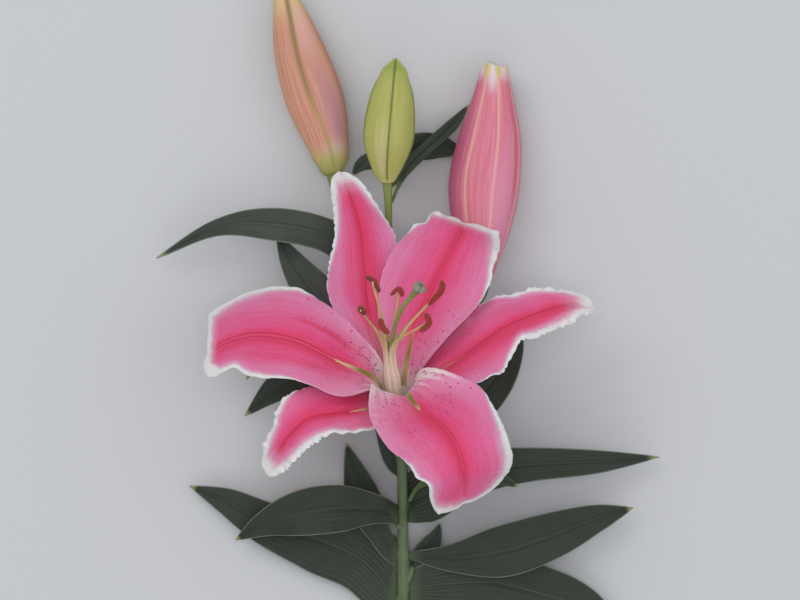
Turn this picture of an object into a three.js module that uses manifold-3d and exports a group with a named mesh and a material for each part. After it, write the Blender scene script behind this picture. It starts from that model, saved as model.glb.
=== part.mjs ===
// A cut oriental lily lying on a table: one open bloom that faces up, three closed buds, and a leafy stem.
// Millimetres, +Z up. The stem runs along Y with the buds at +Y and the cut end at -Y.
// It rests on three small flat spots: under the two lower buds and under the cut end of the stem.
import * as THREE from "three";
import { mergeVertices } from "three/addons/utils/BufferGeometryUtils.js";
import Module from "manifold-3d";

const wasm = await Module();
wasm.setup();

// Driving dimensions of the flower.
const GAP = 0.3; // between each piece and what it grows from
const STEM_CUT_RADIUS = 4.0;
const STEM_TOP_RADIUS = 2.6;
const TEPAL_THICKNESS = 0.9;
const LEAF_THICKNESS = 0.8;

// The line down the middle of the drawing, moved so that the finished flower is centred over the origin.
const CENTRE = [3.9, -36.5, 0];

// A smooth line through evenly spaced rows of numbers, at t from 0 to 1.
function along(rows, t) {
  const last = rows.length - 1;
  const i = Math.min(last - 1, Math.max(0, Math.floor(t * last)));
  const f = t * last - i;
  const from = rows[i];
  const to = rows[i + 1];
  return from.map((x, k) => {
    const before = rows[i - 1] ? rows[i - 1][k] : 2 * x - to[k];
    const after = rows[i + 2] ? rows[i + 2][k] : 2 * to[k] - x;
    const leave = (to[k] - before) / 2;
    const arrive = (after - x) / 2;
    const bend = 3 * (to[k] - x) - 2 * leave - arrive;
    return x + f * (leave + f * (bend + f * (2 * (x - to[k]) + leave + arrive)));
  });
}

const vector = (list) => new THREE.Vector3(list[0], list[1], list[2]);
const mix = (a, b, t) => a + (b - a) * t;
const smooth = (from, to, t) => THREE.MathUtils.smoothstep(t, from, to);

// The direction of a line given as a function of t.
function heading(line, t) {
  const step = 1e-3;
  return line(t + step).sub(line(t - step)).normalize();
}

// A closed surface over rings of the same number of points. The two halves of a ring are split into
// triangles alike, so that the two faces of a thin blade follow each other.
function loft(rings) {
  const count = rings[0].length;
  const half = count / 2;
  const index = [];
  for (let j = 0; j < rings.length - 1; j++)
    for (let i = 0; i < count; i++) {
      const a = j * count + i;
      const b = j * count + ((i + 1) % count);
      const c = b + count;
      const d = a + count;
      index.push(...(i < half ? [a, b, c, a, c, d] : [a, b, d, b, c, d]));
    }
  const end = (rings.length - 1) * count;
  for (let i = 0; i < half - 1; i++) {
    const [a, b, c, d] = [i, i + 1, count - 2 - i, count - 1 - i];
    index.push(a, c, b, a, d, c);
    index.push(end + a, end + b, end + c, end + a, end + c, end + d);
  }
  const geometry = new THREE.BufferGeometry().setFromPoints(rings.flat());
  geometry.setIndex(index);
  return facingOut(geometry);
}

function facingOut(geometry) {
  const place = geometry.getAttribute("position");
  const index = geometry.getIndex().array;
  let volume = 0;
  const corner = [0, 1, 2].map(() => new THREE.Vector3());
  for (let i = 0; i < index.length; i += 3) {
    corner.forEach((v, k) => v.fromBufferAttribute(place, index[i + k]));
    volume += corner[0].dot(corner[1].clone().cross(corner[2]));
  }
  if (volume < 0)
    for (let i = 0; i < index.length; i += 3)
      [index[i + 1], index[i + 2]] = [index[i + 2], index[i + 1]];
  return geometry;
}

// A thin blade, such as a leaf or a tepal. frame(u) gives the midrib's place, the sideways direction and
// the direction in which a curl lifts the margins. shape(u, v) gives how far a point lies sideways and
// how far it is lifted, with v from -1 to 1 between the margins.
function blade({ frame, shape, rows, columns, thickness }) {
  const grid = [];
  for (let j = 0; j <= rows; j++) {
    const u = j / rows;
    const { place, side, lift } = frame(u);
    const row = [];
    for (let i = 0; i <= columns; i++) {
      const [across, up] = shape(u, (2 * i) / columns - 1);
      row.push(place.clone().addScaledVector(side, across).addScaledVector(lift, up));
    }
    grid.push(row);
  }
  const rings = grid.map((row, j) => {
    const faces = [1, -1].map((way) =>
      row.map((point, i) => {
        const on = grid[Math.min(j + 1, rows)][i].clone().sub(grid[Math.max(j - 1, 0)][i]);
        const over = row[Math.min(i + 1, columns)].clone().sub(row[Math.max(i - 1, 0)]);
        return point.clone().addScaledVector(on.cross(over).normalize(), (way * thickness) / 2);
      }),
    );
    return [...faces[0], ...faces[1].reverse()];
  });
  return loft(rings);
}

// How far a point at arc length s from the midrib goes sideways and up, on an arc that turns by curl
// radians between the midrib and a margin at half-width w.
function arc(s, w, curl) {
  if (Math.abs(curl) < 1e-3) return [s, 0];
  const radius = w / curl;
  return [radius * Math.sin(s / radius), radius * (1 - Math.cos(s / radius))];
}

// A tube along a line. radius(t) is a number, or a function of the angle round the tube. ahead(t, angle)
// moves a point forwards along the line.
function tube(line, radius, steps, sides, ahead = () => 0) {
  const rings = [];
  for (let j = 0; j <= steps; j++) {
    const t = j / steps;
    const way = heading(line, t);
    const away = Math.abs(way.x) < 0.8 ? new THREE.Vector3(1, 0, 0) : new THREE.Vector3(0, 0, 1);
    const side = away.addScaledVector(way, -away.dot(way)).normalize();
    const lift = way.clone().cross(side);
    const ring = [];
    for (let i = 0; i < sides; i++) {
      const angle = (2 * Math.PI * (i + 0.5)) / sides;
      const reach = typeof radius(t) === "function" ? radius(t)(angle) : radius(t);
      ring.push(
        line(t)
          .addScaledVector(side, reach * Math.cos(angle))
          .addScaledVector(lift, reach * Math.sin(angle))
          .addScaledVector(way, ahead(t, angle)),
      );
    }
    rings.push(ring);
  }
  return loft(rings);
}

function solid(geometry) {
  const bare = geometry.clone();
  bare.deleteAttribute("normal");
  bare.deleteAttribute("uv");
  const merged = mergeVertices(bare, 1e-4);
  return new wasm.Manifold(
    new wasm.Mesh({
      numProp: 3,
      vertProperties: new Float32Array(merged.getAttribute("position").array),
      triVerts: new Uint32Array(merged.getIndex().array),
    }),
  );
}

function geometryOf(made) {
  const mesh = made.getMesh();
  const geometry = new THREE.BufferGeometry();
  geometry.setAttribute("position", new THREE.BufferAttribute(mesh.vertProperties, 3));
  geometry.setIndex(new THREE.BufferAttribute(mesh.triVerts, 1));
  return geometry;
}

const fused = (...geometries) => geometryOf(wasm.Manifold.union(geometries.map(solid)));

// Takes off what reaches under the table top, which leaves a small flat spot to rest on.
function flattened(geometry) {
  const under = new THREE.BoxGeometry(600, 600, 20).translate(0, 0, -10);
  return geometryOf(solid(geometry).subtract(solid(under)));
}

const group = new THREE.Group();
function add(name, geometry, material) {
  const mesh = new THREE.Mesh(geometry, material);
  mesh.name = name;
  group.add(mesh);
}

const finish = (color, roughness) => new THREE.MeshStandardMaterial({ color, roughness, metalness: 0 });
const STEM_GREEN = finish(0x5d7a4c, 0.5);
const LEAF_GREEN = finish(0x34462f, 0.45);
const TEPAL_PINK = finish(0xdf5f93, 0.55);
const STAMEN_GREEN = finish(0xb9a468, 0.5);
const STYLE_GREEN = finish(0x6f7f3c, 0.5);
const ANTHER_BROWN = finish(0x9a3b30, 0.9);
const STIGMA_GREY = finish(0x8f9580, 0.7);
const BUD_PEACH = finish(0xcf8f83, 0.5);
const BUD_GREEN = finish(0xa9b45a, 0.5);
const BUD_PINK = finish(0xd5768f, 0.5);

// The stem: rows of x, y, z and radius from the oblique cut to the top, where the stalks of the buds fork.
const STEM_ROWS = [
  [1.5, -240, STEM_CUT_RADIUS - 0.3, STEM_CUT_RADIUS],
  [1.5, -190, 5.2, 3.7],
  [1.5, -140, 8, 3.4],
  [1, -90, 11.8, 3.2],
  [0, -40, 15.6, 3.0],
  [-3.5, 15, 21, STEM_TOP_RADIUS],
];
const stemPlace = (t) => vector(along(STEM_ROWS, t));
const stemRadius = (t) => along(STEM_ROWS, t)[3];

// The share of the stem's length at which it passes a given y.
function stemAt(y) {
  let [low, high] = [0, 1];
  for (let i = 0; i < 30; i++) {
    const middle = (low + high) / 2;
    if (stemPlace(middle).y < y) low = middle;
    else high = middle;
  }
  return low;
}

// The receptacle carries the bloom. The bloom's axis leans back from the upright towards the buds.
const RECEPTACLE = new THREE.Vector3(-1.5, -52.5, 58);
const RECEPTACLE_RADIUS = 8.4;
const TILT = THREE.MathUtils.degToRad(38);
const BLOOM_AXIS = new THREE.Vector3(0, Math.sin(TILT), Math.cos(TILT));
const BLOOM_RIGHT = new THREE.Vector3(1, 0, 0);
const BLOOM_TOP = new THREE.Vector3(0, Math.cos(TILT), -Math.sin(TILT));

// A point of the bloom, from its angle round the axis in degrees, its distance from it and its height.
function bloomPoint(angle, out, high) {
  const turn = THREE.MathUtils.degToRad(angle);
  return RECEPTACLE.clone()
    .addScaledVector(BLOOM_RIGHT, out * Math.cos(turn))
    .addScaledVector(BLOOM_TOP, out * Math.sin(turn))
    .addScaledVector(BLOOM_AXIS, high);
}

// Stalks: rows of x, y, z and radius from inside the stem to the base of each bud and of the bloom.
const BLOOM_STALK = [
  [1.5, -114, 10, 2.2],
  [0.5, -99, 21, 2.5],
  [-1, -82, 35, 2.7],
  [-1.5, -64, 46, 3.0],
  [-1.5, -54.2, 55.8, 5.6],
];
const LEFT_STALK = [
  [-4, 6, 20.3, 2.0],
  [-16, 25, 19.2, 2.1],
  [-27, 44, 16.6, 2.3],
  [-32, 55, 15.4, 2.8],
  [-34.2, 63.3, 15.1, 3.8],
];
const MIDDLE_STALK = [
  [-3.5, 10, 20.6, 2.1],
  [-4.9, 26, 23, 1.8],
  [-5.6, 38, 26.4, 1.8],
  [-6, 49, 29.8, 2],
  [-6.3, 58.6, 32, 2.9],
];
const RIGHT_STALK = [
  [-1.5, -16, 18.3, 2.0],
  [5, -13, 17.8, 2.1],
  [20, -9.5, 16.6, 2.2],
  [33, -5.5, 15.6, 2.5],
  [40.4, 1, 15.3, 2.9],
  [42.2, 8.6, 15.5, 4.2],
];

function stalk(rows, steps) {
  return tube(
    (t) => vector(along(rows, t)),
    (t) => along(rows, t)[3],
    steps,
    8,
  );
}

function stem() {
  const receptacle = tube(
    (t) => bloomPoint(0, 0, -7 + 7 * t),
    (t) => mix(3, RECEPTACLE_RADIUS, Math.sqrt(t)),
    3,
    12,
  );
  const whole = fused(
    tube(stemPlace, stemRadius, 14, 10),
    stalk(BLOOM_STALK, 8),
    receptacle,
    stalk(LEFT_STALK, 7),
    stalk(MIDDLE_STALK, 6),
    stalk(RIGHT_STALK, 9),
  );
  // The oblique cut across the end.
  const cut = new THREE.BoxGeometry(60, 60, 60)
    .translate(0, -30, 0)
    .rotateX(THREE.MathUtils.degToRad(-35))
    .translate(0, -236, 4);
  return flattened(geometryOf(solid(whole).subtract(solid(cut))));
}
add("stem", stem(), STEM_GREEN);

// Leaves: how far along the stem and where round it each begins, then rows of x, y, z and half-width,
// evenly spaced to the tip. They are numbered from the cut end upwards. leaf_08 is on the bloom's stalk.
const LEAVES = [
  {
    name: "leaf_01",
    y: -154,
    round: 180,
    rows: [
      [-19, -134, 6, 15],
      [-42, -123, 7, 17],
      [-67.5, -115, 8.5, 11.5],
      [-88.5, -103.5, 9, 7],
      [-108, -95.5, 7, 0.5],
    ],
  },
  {
    name: "leaf_02",
    y: -148,
    round: 0,
    rows: [
      [25.5, -145.5, 8, 11],
      [48.5, -145, 9, 14],
      [72, -150.5, 9, 14.3],
      [94, -157.5, 7.5, 10.5],
      [116, -169, 5, 0.5],
    ],
  },
  {
    name: "leaf_03",
    y: -130,
    round: 185,
    rows: [
      [-9, -122, 10.5, 6],
      [-15, -110, 11.5, 8.5],
      [-20, -97.5, 13, 8.5],
      [-24, -85, 15, 5],
      [-27.5, -73, 17, 0.5],
    ],
  },
  {
    name: "leaf_04",
    y: -131,
    round: 25,
    rows: [
      [25.5, -132, 15, 7],
      [51, -128.5, 19, 13],
      [76.5, -120.5, 20, 12],
      [100.3, -111.6, 17, 7.2],
      [119.5, -106.5, 12, 0.5],
    ],
  },
  {
    name: "leaf_05",
    y: -136,
    round: -10,
    rows: [
      [9, -132.5, 8, 3.5],
      [14, -128, 8, 4.5],
      [17.5, -123, 8.5, 4],
      [19.5, -119, 9, 2.2],
      [20.5, -114.5, 9.5, 0.5],
    ],
  },
  {
    name: "leaf_06",
    y: -110,
    round: 145,
    rows: [
      [-14, -106.5, 20.5, 8],
      [-31, -106, 26, 12],
      [-51, -108.5, 25, 11.5],
      [-69.5, -114.5, 19, 6.5],
      [-84.5, -123, 13, 0.5],
    ],
  },
  {
    name: "leaf_07",
    y: -113,
    round: 20,
    rows: [
      [15, -101.5, 18, 8.5],
      [38, -88, 24, 10.5],
      [66, -83.8, 25, 8.7],
      [100.3, -82.6, 19, 6],
      [133, -80.5, 11, 0.5],
    ],
  },
  {
    name: "leaf_08",
    rows: [
      [4.5, -102.5, 19.5, 1.2],
      [10.5, -94, 26, 1.8],
      [22, -88.5, 31, 4.5],
      [36, -88, 34, 6],
      [50, -90.5, 33, 3.5],
      [60, -94.5, 30, 0.8],
    ],
  },
  {
    name: "leaf_09",
    y: -78,
    round: 10,
    rows: [
      [19, -68, 19, 8],
      [34.5, -55, 26, 11.5],
      [47, -40.5, 30, 11],
      [56, -25.5, 31, 7],
      [61.5, -11.5, 30, 0.5],
    ],
  },
  {
    name: "leaf_10",
    y: -88,
    round: 140,
    rows: [
      [-3.5, -79, 20, 6],
      [-5, -66, 25, 7.5],
      [-7.5, -53.5, 29, 7.5],
      [-12, -41, 32, 6],
      [-18, -30, 34, 0.5],
    ],
  },
  {
    name: "leaf_11",
    y: -60,
    round: 180,
    rows: [
      [-14.5, -50, 17, 8],
      [-30.5, -41, 21, 10.5],
      [-47, -37.5, 24, 10],
      [-63, -45, 23, 7],
      [-79.5, -59.5, 18, 0.5],
    ],
  },
  {
    name: "leaf_12",
    y: -36,
    round: 195,
    rows: [
      [-20.5, -23, 13, 7],
      [-38.5, -17, 14, 9],
      [-55, -17.5, 16, 9],
      [-69.5, -26.5, 18, 6],
      [-78.5, -40.5, 19, 0.5],
    ],
  },
  {
    name: "leaf_13",
    y: -20,
    round: 150,
    rows: [
      [-18.5, -17, 22, 8],
      [-32.5, -6, 26, 11],
      [-46, 7.5, 27, 9.5],
      [-55.5, 20.5, 25, 6],
      [-63, 34.5, 21, 0.5],
    ],
  },
  {
    name: "leaf_14",
    y: 0,
    round: 150,
    rows: [
      [-20.5, 20, 27, 8],
      [-38, 33, 33, 8.5],
      [-66, 38.5, 34, 8.2],
      [-94, 36.5, 26, 4.2],
      [-125, 21.5, 9, 0.5],
    ],
  },
];

// Bracts are small leaves that begin on the stalk of the middle bud.
const BRACTS = [
  {
    name: "bract_right",
    rows: [
      [-4.3, 49.5, 27, 1.2],
      [-1.2, 57, 28.5, 1.2],
      [2.4, 66, 25.5, 3],
      [14.5, 78.5, 15, 3.2],
      [26.5, 89.5, 8, 3],
      [35.5, 100.5, 4, 0.5],
    ],
  },
  {
    name: "bract_low",
    rows: [
      [-5.6, 56.5, 27.8, 1.6],
      [-1.4, 65.5, 20, 4.4],
      [6, 77, 11, 7],
      [17.5, 79, 6, 6.5],
      [26, 78, 3.4, 4],
      [31.5, 77.5, 2, 0.5],
    ],
  },
  {
    name: "bract_left",
    rows: [
      [-8.2, 50, 26.8, 1.4],
      [-8.8, 58, 23.4, 2.2],
      [-10.5, 64.5, 21, 4],
      [-15, 69.5, 19, 5],
      [-19.8, 69, 17, 4],
      [-24.5, 64, 14, 0.5],
    ],
  },
];

const UP = new THREE.Vector3(0, 0, 1);

// A leaf is a thin blade with a shallow keel. Its base lies along the stem and its tip is pointed.
function leaf({ rows, y, round, roll = 0 }) {
  let all = rows;
  let baseSide = null;
  if (y !== undefined) {
    const t = stemAt(y);
    const turn = THREE.MathUtils.degToRad(round);
    const reach = stemRadius(t) + GAP + 0.3;
    const base = stemPlace(t).add(new THREE.Vector3(Math.cos(turn) * reach, 0, Math.sin(turn) * reach));
    all = [[...base.toArray(), 3.2], ...rows];
    baseSide = heading(stemPlace, t);
  }
  const line = (u) => vector(along(all, u));
  const frame = (u) => {
    const way = heading(line, Math.min(0.998, Math.max(0.002, u)));
    const side = way.clone().cross(UP).normalize();
    side.applyAxisAngle(way, THREE.MathUtils.degToRad(roll) * smooth(0, 0.4, u));
    if (baseSide) {
      const start = baseSide.clone().multiplyScalar(Math.sign(baseSide.dot(side)) || 1);
      side.lerp(start, 1 - smooth(0, 0.16, u)).normalize();
    }
    return { place: line(u), side, lift: side.clone().cross(way).normalize() };
  };
  const shape = (u, v) => {
    const w = Math.max(along(all, u)[3], 0.5);
    return [w * v, 0.16 * w * Math.abs(v) * smooth(0, 0.2, u)];
  };
  return blade({ frame, shape, rows: 10, columns: 4, thickness: LEAF_THICKNESS });
}
for (const one of [...LEAVES, ...BRACTS]) add(one.name, leaf(one), LEAF_GREEN);

// Tepals: rows of x, y, z and curl down the midrib, and half-widths to the left and right of it as seen
// from the base, each evenly spaced from the base to the tip. The curl is how far the blade turns between
// midrib and margin, in radians, and below zero the margins bend away from the flower's middle.
const TEPALS = [
  {
    name: "tepal_outer_upper",
    base: 118,
    rows: [
      [-7, -30, 65.5, 0.6],
      [-11.5, -6, 67.5, 0.4],
      [-16, 17, 59, 0.1],
      [-20.5, 38, 47, 0],
      [-26, 54, 36, -0.1],
      [-31, 65.5, 28, -0.1],
    ],
    left: [2.6, 7, 13, 19, 23.3, 20.4, 15.2, 12, 9.6, 7.4, 6],
    right: [2.6, 6.5, 9.5, 12, 14.2, 16.2, 16, 13.4, 10.4, 7.6, 5.4],
  },
  {
    name: "tepal_inner_upper",
    base: 57,
    inner: true,
    rows: [
      [3.5, -30, 69.5, 0.8],
      [9.5, -7.5, 74.5, 0.5],
      [20.5, 16, 66, 0.15],
      [29, 32.3, 57.3, -0.17],
      [32.5, 39.6, 41.5, -0.13],
      [35.2, 35.5, 32, 0.13],
    ],
    left: [2.6, 6.7, 13, 20.3, 25, 26, 24.2, 23.3, 17.8, 17.2, 6.3],
    right: [2.6, 6.7, 12.3, 19, 25.5, 27, 23.6, 21.4, 19.1, 17.5, 7.3],
  },
  {
    name: "tepal_inner_left",
    base: 178,
    inner: true,
    rows: [
      [-13.5, -37.5, 75.5, 0.8],
      [-29, -28, 86, 0.5],
      [-53, -19.5, 89, 0],
      [-77.5, -19.5, 78.6, -0.15],
      [-96.3, -29, 71.5, -0.15],
      [-93.4, -33.5, 62.6, 0.14],
    ],
    left: [2.6, 7, 12.5, 19, 25, 24.7, 23.1, 17.6, 14.1, 4.3, 6.5],
    right: [2.6, 7, 11.5, 16.5, 24, 30, 32.9, 34.9, 31.4, 26.3, 9.9],
  },
  {
    name: "tepal_outer_right",
    base: -2,
    rows: [
      [13, -39, 72.5, 0.5],
      [31, -27.5, 81.5, 0.15],
      [52, -16.5, 81, 0.05],
      [73.5, -6, 74, 0],
      [86.5, -2, 67, -0.1],
      [95.5, -3, 61, -0.1],
    ],
    left: [2.6, 6.4, 11, 16, 20, 21.8, 19, 15, 10.4, 6.8, 5.6],
    right: [2.6, 6.2, 11, 18, 19.6, 11.5, 10.6, 10.6, 9.6, 8, 6.8],
  },
  {
    name: "tepal_outer_left",
    base: 238,
    rows: [
      [-10.5, -49, 80, 0.6],
      [-25.5, -50, 95, 0.4],
      [-44, -56.5, 103, 0.1],
      [-54.5, -66.5, 101, 0],
      [-61, -76, 94, -0.1],
      [-67, -85, 86, -0.1],
    ],
    left: [2.6, 8.4, 13.7, 18, 17.5, 15.1, 13, 12.2, 10.1, 7.8, 6],
    right: [2.6, 5.9, 8.9, 11.4, 14.2, 15.9, 14.2, 11.7, 10.3, 8, 6.2],
  },
  {
    name: "tepal_inner_lower",
    base: 298,
    inner: true,
    rows: [
      [3.2, -43.4, 83, 0.9],
      [12.5, -53.5, 100.5, 0.5],
      [23.5, -63, 113, 0],
      [29.5, -73.5, 118, -0.15],
      [31, -87.5, 114, -0.15],
      [19, -104.5, 98, -0.2],
    ],
    left: [2.6, 9, 16.5, 24, 27.3, 26.3, 25.7, 25.4, 27, 27.5, 12],
    right: [2.6, 9.5, 18, 27, 30, 28.6, 27.6, 25.7, 23.6, 16, 6],
  },
];
const INNER_RING = 6.2;
const OUTER_RING = 7.8;

function tepal({ inner, base, rows, left, right }) {
  const root = bloomPoint(base, inner ? INNER_RING : OUTER_RING, 0.6).toArray();
  const all = [[...root, 0.4], ...rows];
  const line = (u) => vector(along(all, u));
  const frame = (u) => {
    const way = heading(line, Math.min(0.998, Math.max(0.002, u)));
    const out = line(u).sub(RECEPTACLE);
    out.addScaledVector(BLOOM_AXIS, -out.dot(BLOOM_AXIS)).normalize();
    const facing = BLOOM_AXIS.clone().multiplyScalar(way.dot(out)).addScaledVector(out, -way.dot(BLOOM_AXIS));
    const side = way.clone().cross(facing).normalize();
    return { place: line(u), side, lift: side.clone().cross(way) };
  };
  const shape = (u, v) => {
    const curl = along(all, u)[3];
    const widths = (v < 0 ? left : right).map((x) => [x]);
    const close = Math.sqrt(Math.max(0, 1 - (Math.max(0, u - 0.9) / 0.1) ** 2));
    const w = Math.max(along(widths, u)[0] * close, 0.9);
    const [across, up] = arc(w * v, w, curl);
    const groove = -1.2 * Math.exp(-(((w * v) / 3) ** 2)) * smooth(0.05, 0.3, u);
    const wave = Math.sin(2 * Math.PI * (3.5 * u + 0.25 * Math.sign(v)));
    return [across, up + groove + 1.3 * wave * Math.abs(v) ** 3 * smooth(0.3, 0.6, u)];
  };
  return blade({ frame, shape, rows: 14, columns: 8, thickness: TEPAL_THICKNESS });
}
for (const one of TEPALS) add(one.name, tepal(one), TEPAL_PINK);

// The pistil is the ovary in the throat and the style, which bends to the right at its end.
const PISTIL_ROWS = [
  [-1.5, -52.2, 58.4, 2.1],
  [-2.8, -43, 70.5, 2.2],
  [-3.8, -31, 86, 1.5],
  [-3.1, -17.5, 102, 1.4],
  [0.8, -4.5, 117, 1.4],
  [7.8, 4, 127, 1.7],
];
add("pistil", stalk(PISTIL_ROWS, 12), STYLE_GREEN);

// The stigma is a knob of three lobes on the end of the style.
function stigma() {
  const way = heading((t) => vector(along(PISTIL_ROWS, t)), 0.998);
  const middle = vector(PISTIL_ROWS.at(-1)).addScaledVector(way, 2.2 + GAP);
  const lobes = [0, 1, 2].map((i) => {
    const turn = (2 * Math.PI * i) / 3 + 0.4;
    const off = new THREE.Vector3(Math.cos(turn), Math.sin(turn), 0);
    off.addScaledVector(way, -off.dot(way)).setLength(1.5);
    const lobe = new THREE.IcosahedronGeometry(2.1, 1);
    return lobe.translate(...middle.clone().add(off).toArray());
  });
  return fused(...lobes);
}
add("stigma", stigma(), STIGMA_GREY);

// Stamens stand round the pistil, close together at first, and then spread out to their anthers. Each
// row gives the ring angle, the anther's radius and the three points of its own line.
const STAMENS = [
  { angle: 118, radius: 1.3, anther: [[-16.6, 11.4, 106], [-12.7, 9, 109.5], [-9.8, 3.6, 110]] },
  { angle: 58, radius: 1.4, anther: [[-4.6, 2.4, 110], [-0.6, 5.4, 113], [1.4, 1.6, 114]] },
  { angle: -2, radius: 1.6, anther: [[20.6, 9.6, 109], [20, 4.3, 112], [13.6, -2.6, 111]] },
  { angle: -62, radius: 1.8, anther: [[9.6, -15.4, 119], [14, -11.3, 123], [12.3, -6.3, 122]] },
  { angle: 238, radius: 1.5, anther: [[-9.7, -8.9, 125], [-8.6, -13, 128], [-5.2, -16.4, 126]] },
  { angle: 178, radius: 1.75, anther: [[-20, -3.6, 117], [-18.2, -5.2, 120], [-16.4, -6.9, 120]] },
];
const COLUMN_LEAN = new THREE.Vector3(-2.6, 0, 0);

STAMENS.forEach(({ angle, radius, anther }, i) => {
  const held = anther[1];
  const line = (t) => vector(along(anther, t));
  const axis = heading(line, 0.5);
  const low = bloomPoint(angle, 3.8, 20).addScaledVector(COLUMN_LEAN, 0.5);
  const high = bloomPoint(angle, 4.6, 42).add(COLUMN_LEAN);
  const away = high.clone().sub(vector(held));
  away.addScaledVector(axis, -away.dot(axis)).setLength(radius + GAP + 0.5);
  const tip = vector(held).add(away);
  const rows = [bloomPoint(angle, 3.9, 0.35), low, high, tip].map((v) => v.toArray());
  add(
    `filament_${i + 1}`,
    tube((t) => vector(along(rows, t)), (t) => mix(1.15, 0.5, t), 9, 6),
    STAMEN_GREEN,
  );
  add(
    `anther_${i + 1}`,
    tube(line, (t) => radius * Math.sqrt(Math.max(0.08, 1 - (2 * t - 1) ** 4)), 8, 8),
    ANTHER_BROWN,
  );
});

// Buds: rows of x, y, z and radius from the base to the tip. Each is three tepals closed round the rest,
// with a rib down the middle of each tepal and a furrow where two of them meet.
const BUDS = [
  {
    name: "bud_left",
    turn: 90,
    rows: [
      [-34.4, 63.9, 15.1, 4.4],
      [-36.9, 80, 15.2, 10.3],
      [-42.7, 102, 14.5, 14.5],
      [-50.3, 126, 14.8, 12.8],
      [-56, 147, 15.6, 8.8],
      [-62, 165, 16.6, 2.6],
    ],
    material: BUD_PEACH,
  },
  {
    name: "bud_middle",
    turn: 90,
    rows: [
      [-6.4, 59.4, 32.2, 3.6],
      [-6.6, 67, 33.5, 7.9],
      [-5.9, 81, 36, 12.5],
      [-4.6, 96, 38.5, 12.1],
      [-2.5, 109, 40.5, 7.8],
      [-0.9, 121.3, 42, 1.4],
    ],
    material: BUD_GREEN,
  },
  {
    name: "bud_right",
    turn: 30,
    crown: 2.5,
    rows: [
      [42.4, 9.6, 15.6, 4.4],
      [42, 34, 16.8, 13.6],
      [43, 58, 16, 17.8],
      [46, 82, 16.4, 15.7],
      [47.6, 103, 18, 10.4],
      [48.4, 118, 19.4, 6.2],
    ],
    material: BUD_PINK,
  },
];

function bud({ rows, turn, crown = 0 }) {
  const start = THREE.MathUtils.degToRad(turn);
  const radius = (t) => {
    const reach = along(rows, t)[3];
    return (angle) => {
      const lobe = Math.cos(3 * (angle - start));
      return reach * (1 + 0.05 * lobe - 0.06 * Math.max(0, -lobe) ** 6);
    };
  };
  return tube((t) => vector(along(rows, t)), radius, 14, 18, (t, angle) =>
    t === 1 ? crown * Math.max(0, Math.cos(3 * (angle - start))) : 0,
  );
}
for (const one of BUDS) add(one.name, flattened(bud(one)), one.material);

group.position.set(-CENTRE[0], -CENTRE[1], -CENTRE[2]);
export default group;
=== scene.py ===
"""A cut lily lying on a pale floor, seen from straight above: an open pink bloom that faces up, three closed
buds on their stalks, and a leafy stem. The drawing is in millimetres, and each piece is turned to metres when
its mesh is made."""
import math

import bmesh
import bpy
import numpy as np
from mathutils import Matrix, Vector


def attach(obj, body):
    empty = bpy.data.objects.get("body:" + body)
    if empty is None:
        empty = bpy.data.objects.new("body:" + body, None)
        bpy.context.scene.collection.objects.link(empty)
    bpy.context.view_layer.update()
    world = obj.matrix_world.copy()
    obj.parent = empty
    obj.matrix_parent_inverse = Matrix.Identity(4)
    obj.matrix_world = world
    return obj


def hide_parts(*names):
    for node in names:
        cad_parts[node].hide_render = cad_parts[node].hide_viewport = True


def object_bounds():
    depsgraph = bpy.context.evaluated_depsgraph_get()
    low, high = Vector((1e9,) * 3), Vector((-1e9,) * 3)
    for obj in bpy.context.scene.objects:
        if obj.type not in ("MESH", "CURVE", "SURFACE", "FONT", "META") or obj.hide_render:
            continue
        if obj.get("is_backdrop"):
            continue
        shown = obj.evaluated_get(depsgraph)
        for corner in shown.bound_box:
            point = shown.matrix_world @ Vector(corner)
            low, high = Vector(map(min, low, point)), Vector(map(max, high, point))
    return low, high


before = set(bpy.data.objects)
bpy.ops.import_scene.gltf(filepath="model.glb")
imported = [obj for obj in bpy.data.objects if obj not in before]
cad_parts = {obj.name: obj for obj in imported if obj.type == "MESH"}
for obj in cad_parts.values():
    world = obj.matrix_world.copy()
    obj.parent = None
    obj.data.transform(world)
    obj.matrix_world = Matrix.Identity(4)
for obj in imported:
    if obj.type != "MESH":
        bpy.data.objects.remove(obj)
solid_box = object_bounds()

# ---------------------------------------------------------------------------------------------------------
# The stem. A lily's stem is one fleshy green shoot with a waxy skin. It was cut across with a knife, and at
# the top it forks into a stalk for each bud and for the bloom. A low cushion swells under each leaf.

DRAWING_MIDDLE = np.array([3.9, -36.5, 0.0])  # the drawing's point that lies over the part's own origin


def along(rows, t):
    """A smooth line through evenly spaced rows of numbers, at each t from 0 to 1."""
    rows = np.asarray(rows, float)
    t = np.atleast_1d(np.asarray(t, float))
    last = len(rows) - 1
    i = np.clip(np.floor(t * last).astype(int), 0, last - 1)
    f = (t * last - i)[:, None]
    ends = np.vstack([2 * rows[0] - rows[1], rows, 2 * rows[-1] - rows[-2]])
    before, here, there, after = ends[i], ends[i + 1], ends[i + 2], ends[i + 3]
    leave, arrive = (there - before) / 2, (after - here) / 2
    bend = 3 * (there - here) - 2 * leave - arrive
    return here + f * (leave + f * (bend + f * (2 * (here - there) + leave + arrive)))


def unit(v):
    return v / np.maximum(np.linalg.norm(v, axis=-1, keepdims=True), 1e-12)


def heading(rows, t):
    t = np.asarray(t, float)
    return unit(along(rows, t + 1e-3)[:, :3] - along(rows, t - 1e-3)[:, :3])


def smooth(low, high, x):
    x = np.clip((x - low) / (high - low), 0, 1)
    return x * x * (3 - 2 * x)


def hill(x, width):
    """1 where x is 0, falling off on both sides."""
    return np.exp(-((x / width) ** 2))


def turns(sides):
    """The angles of the points of a ring."""
    return 2 * np.pi * (np.arange(sides) + 0.5) / sides


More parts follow.
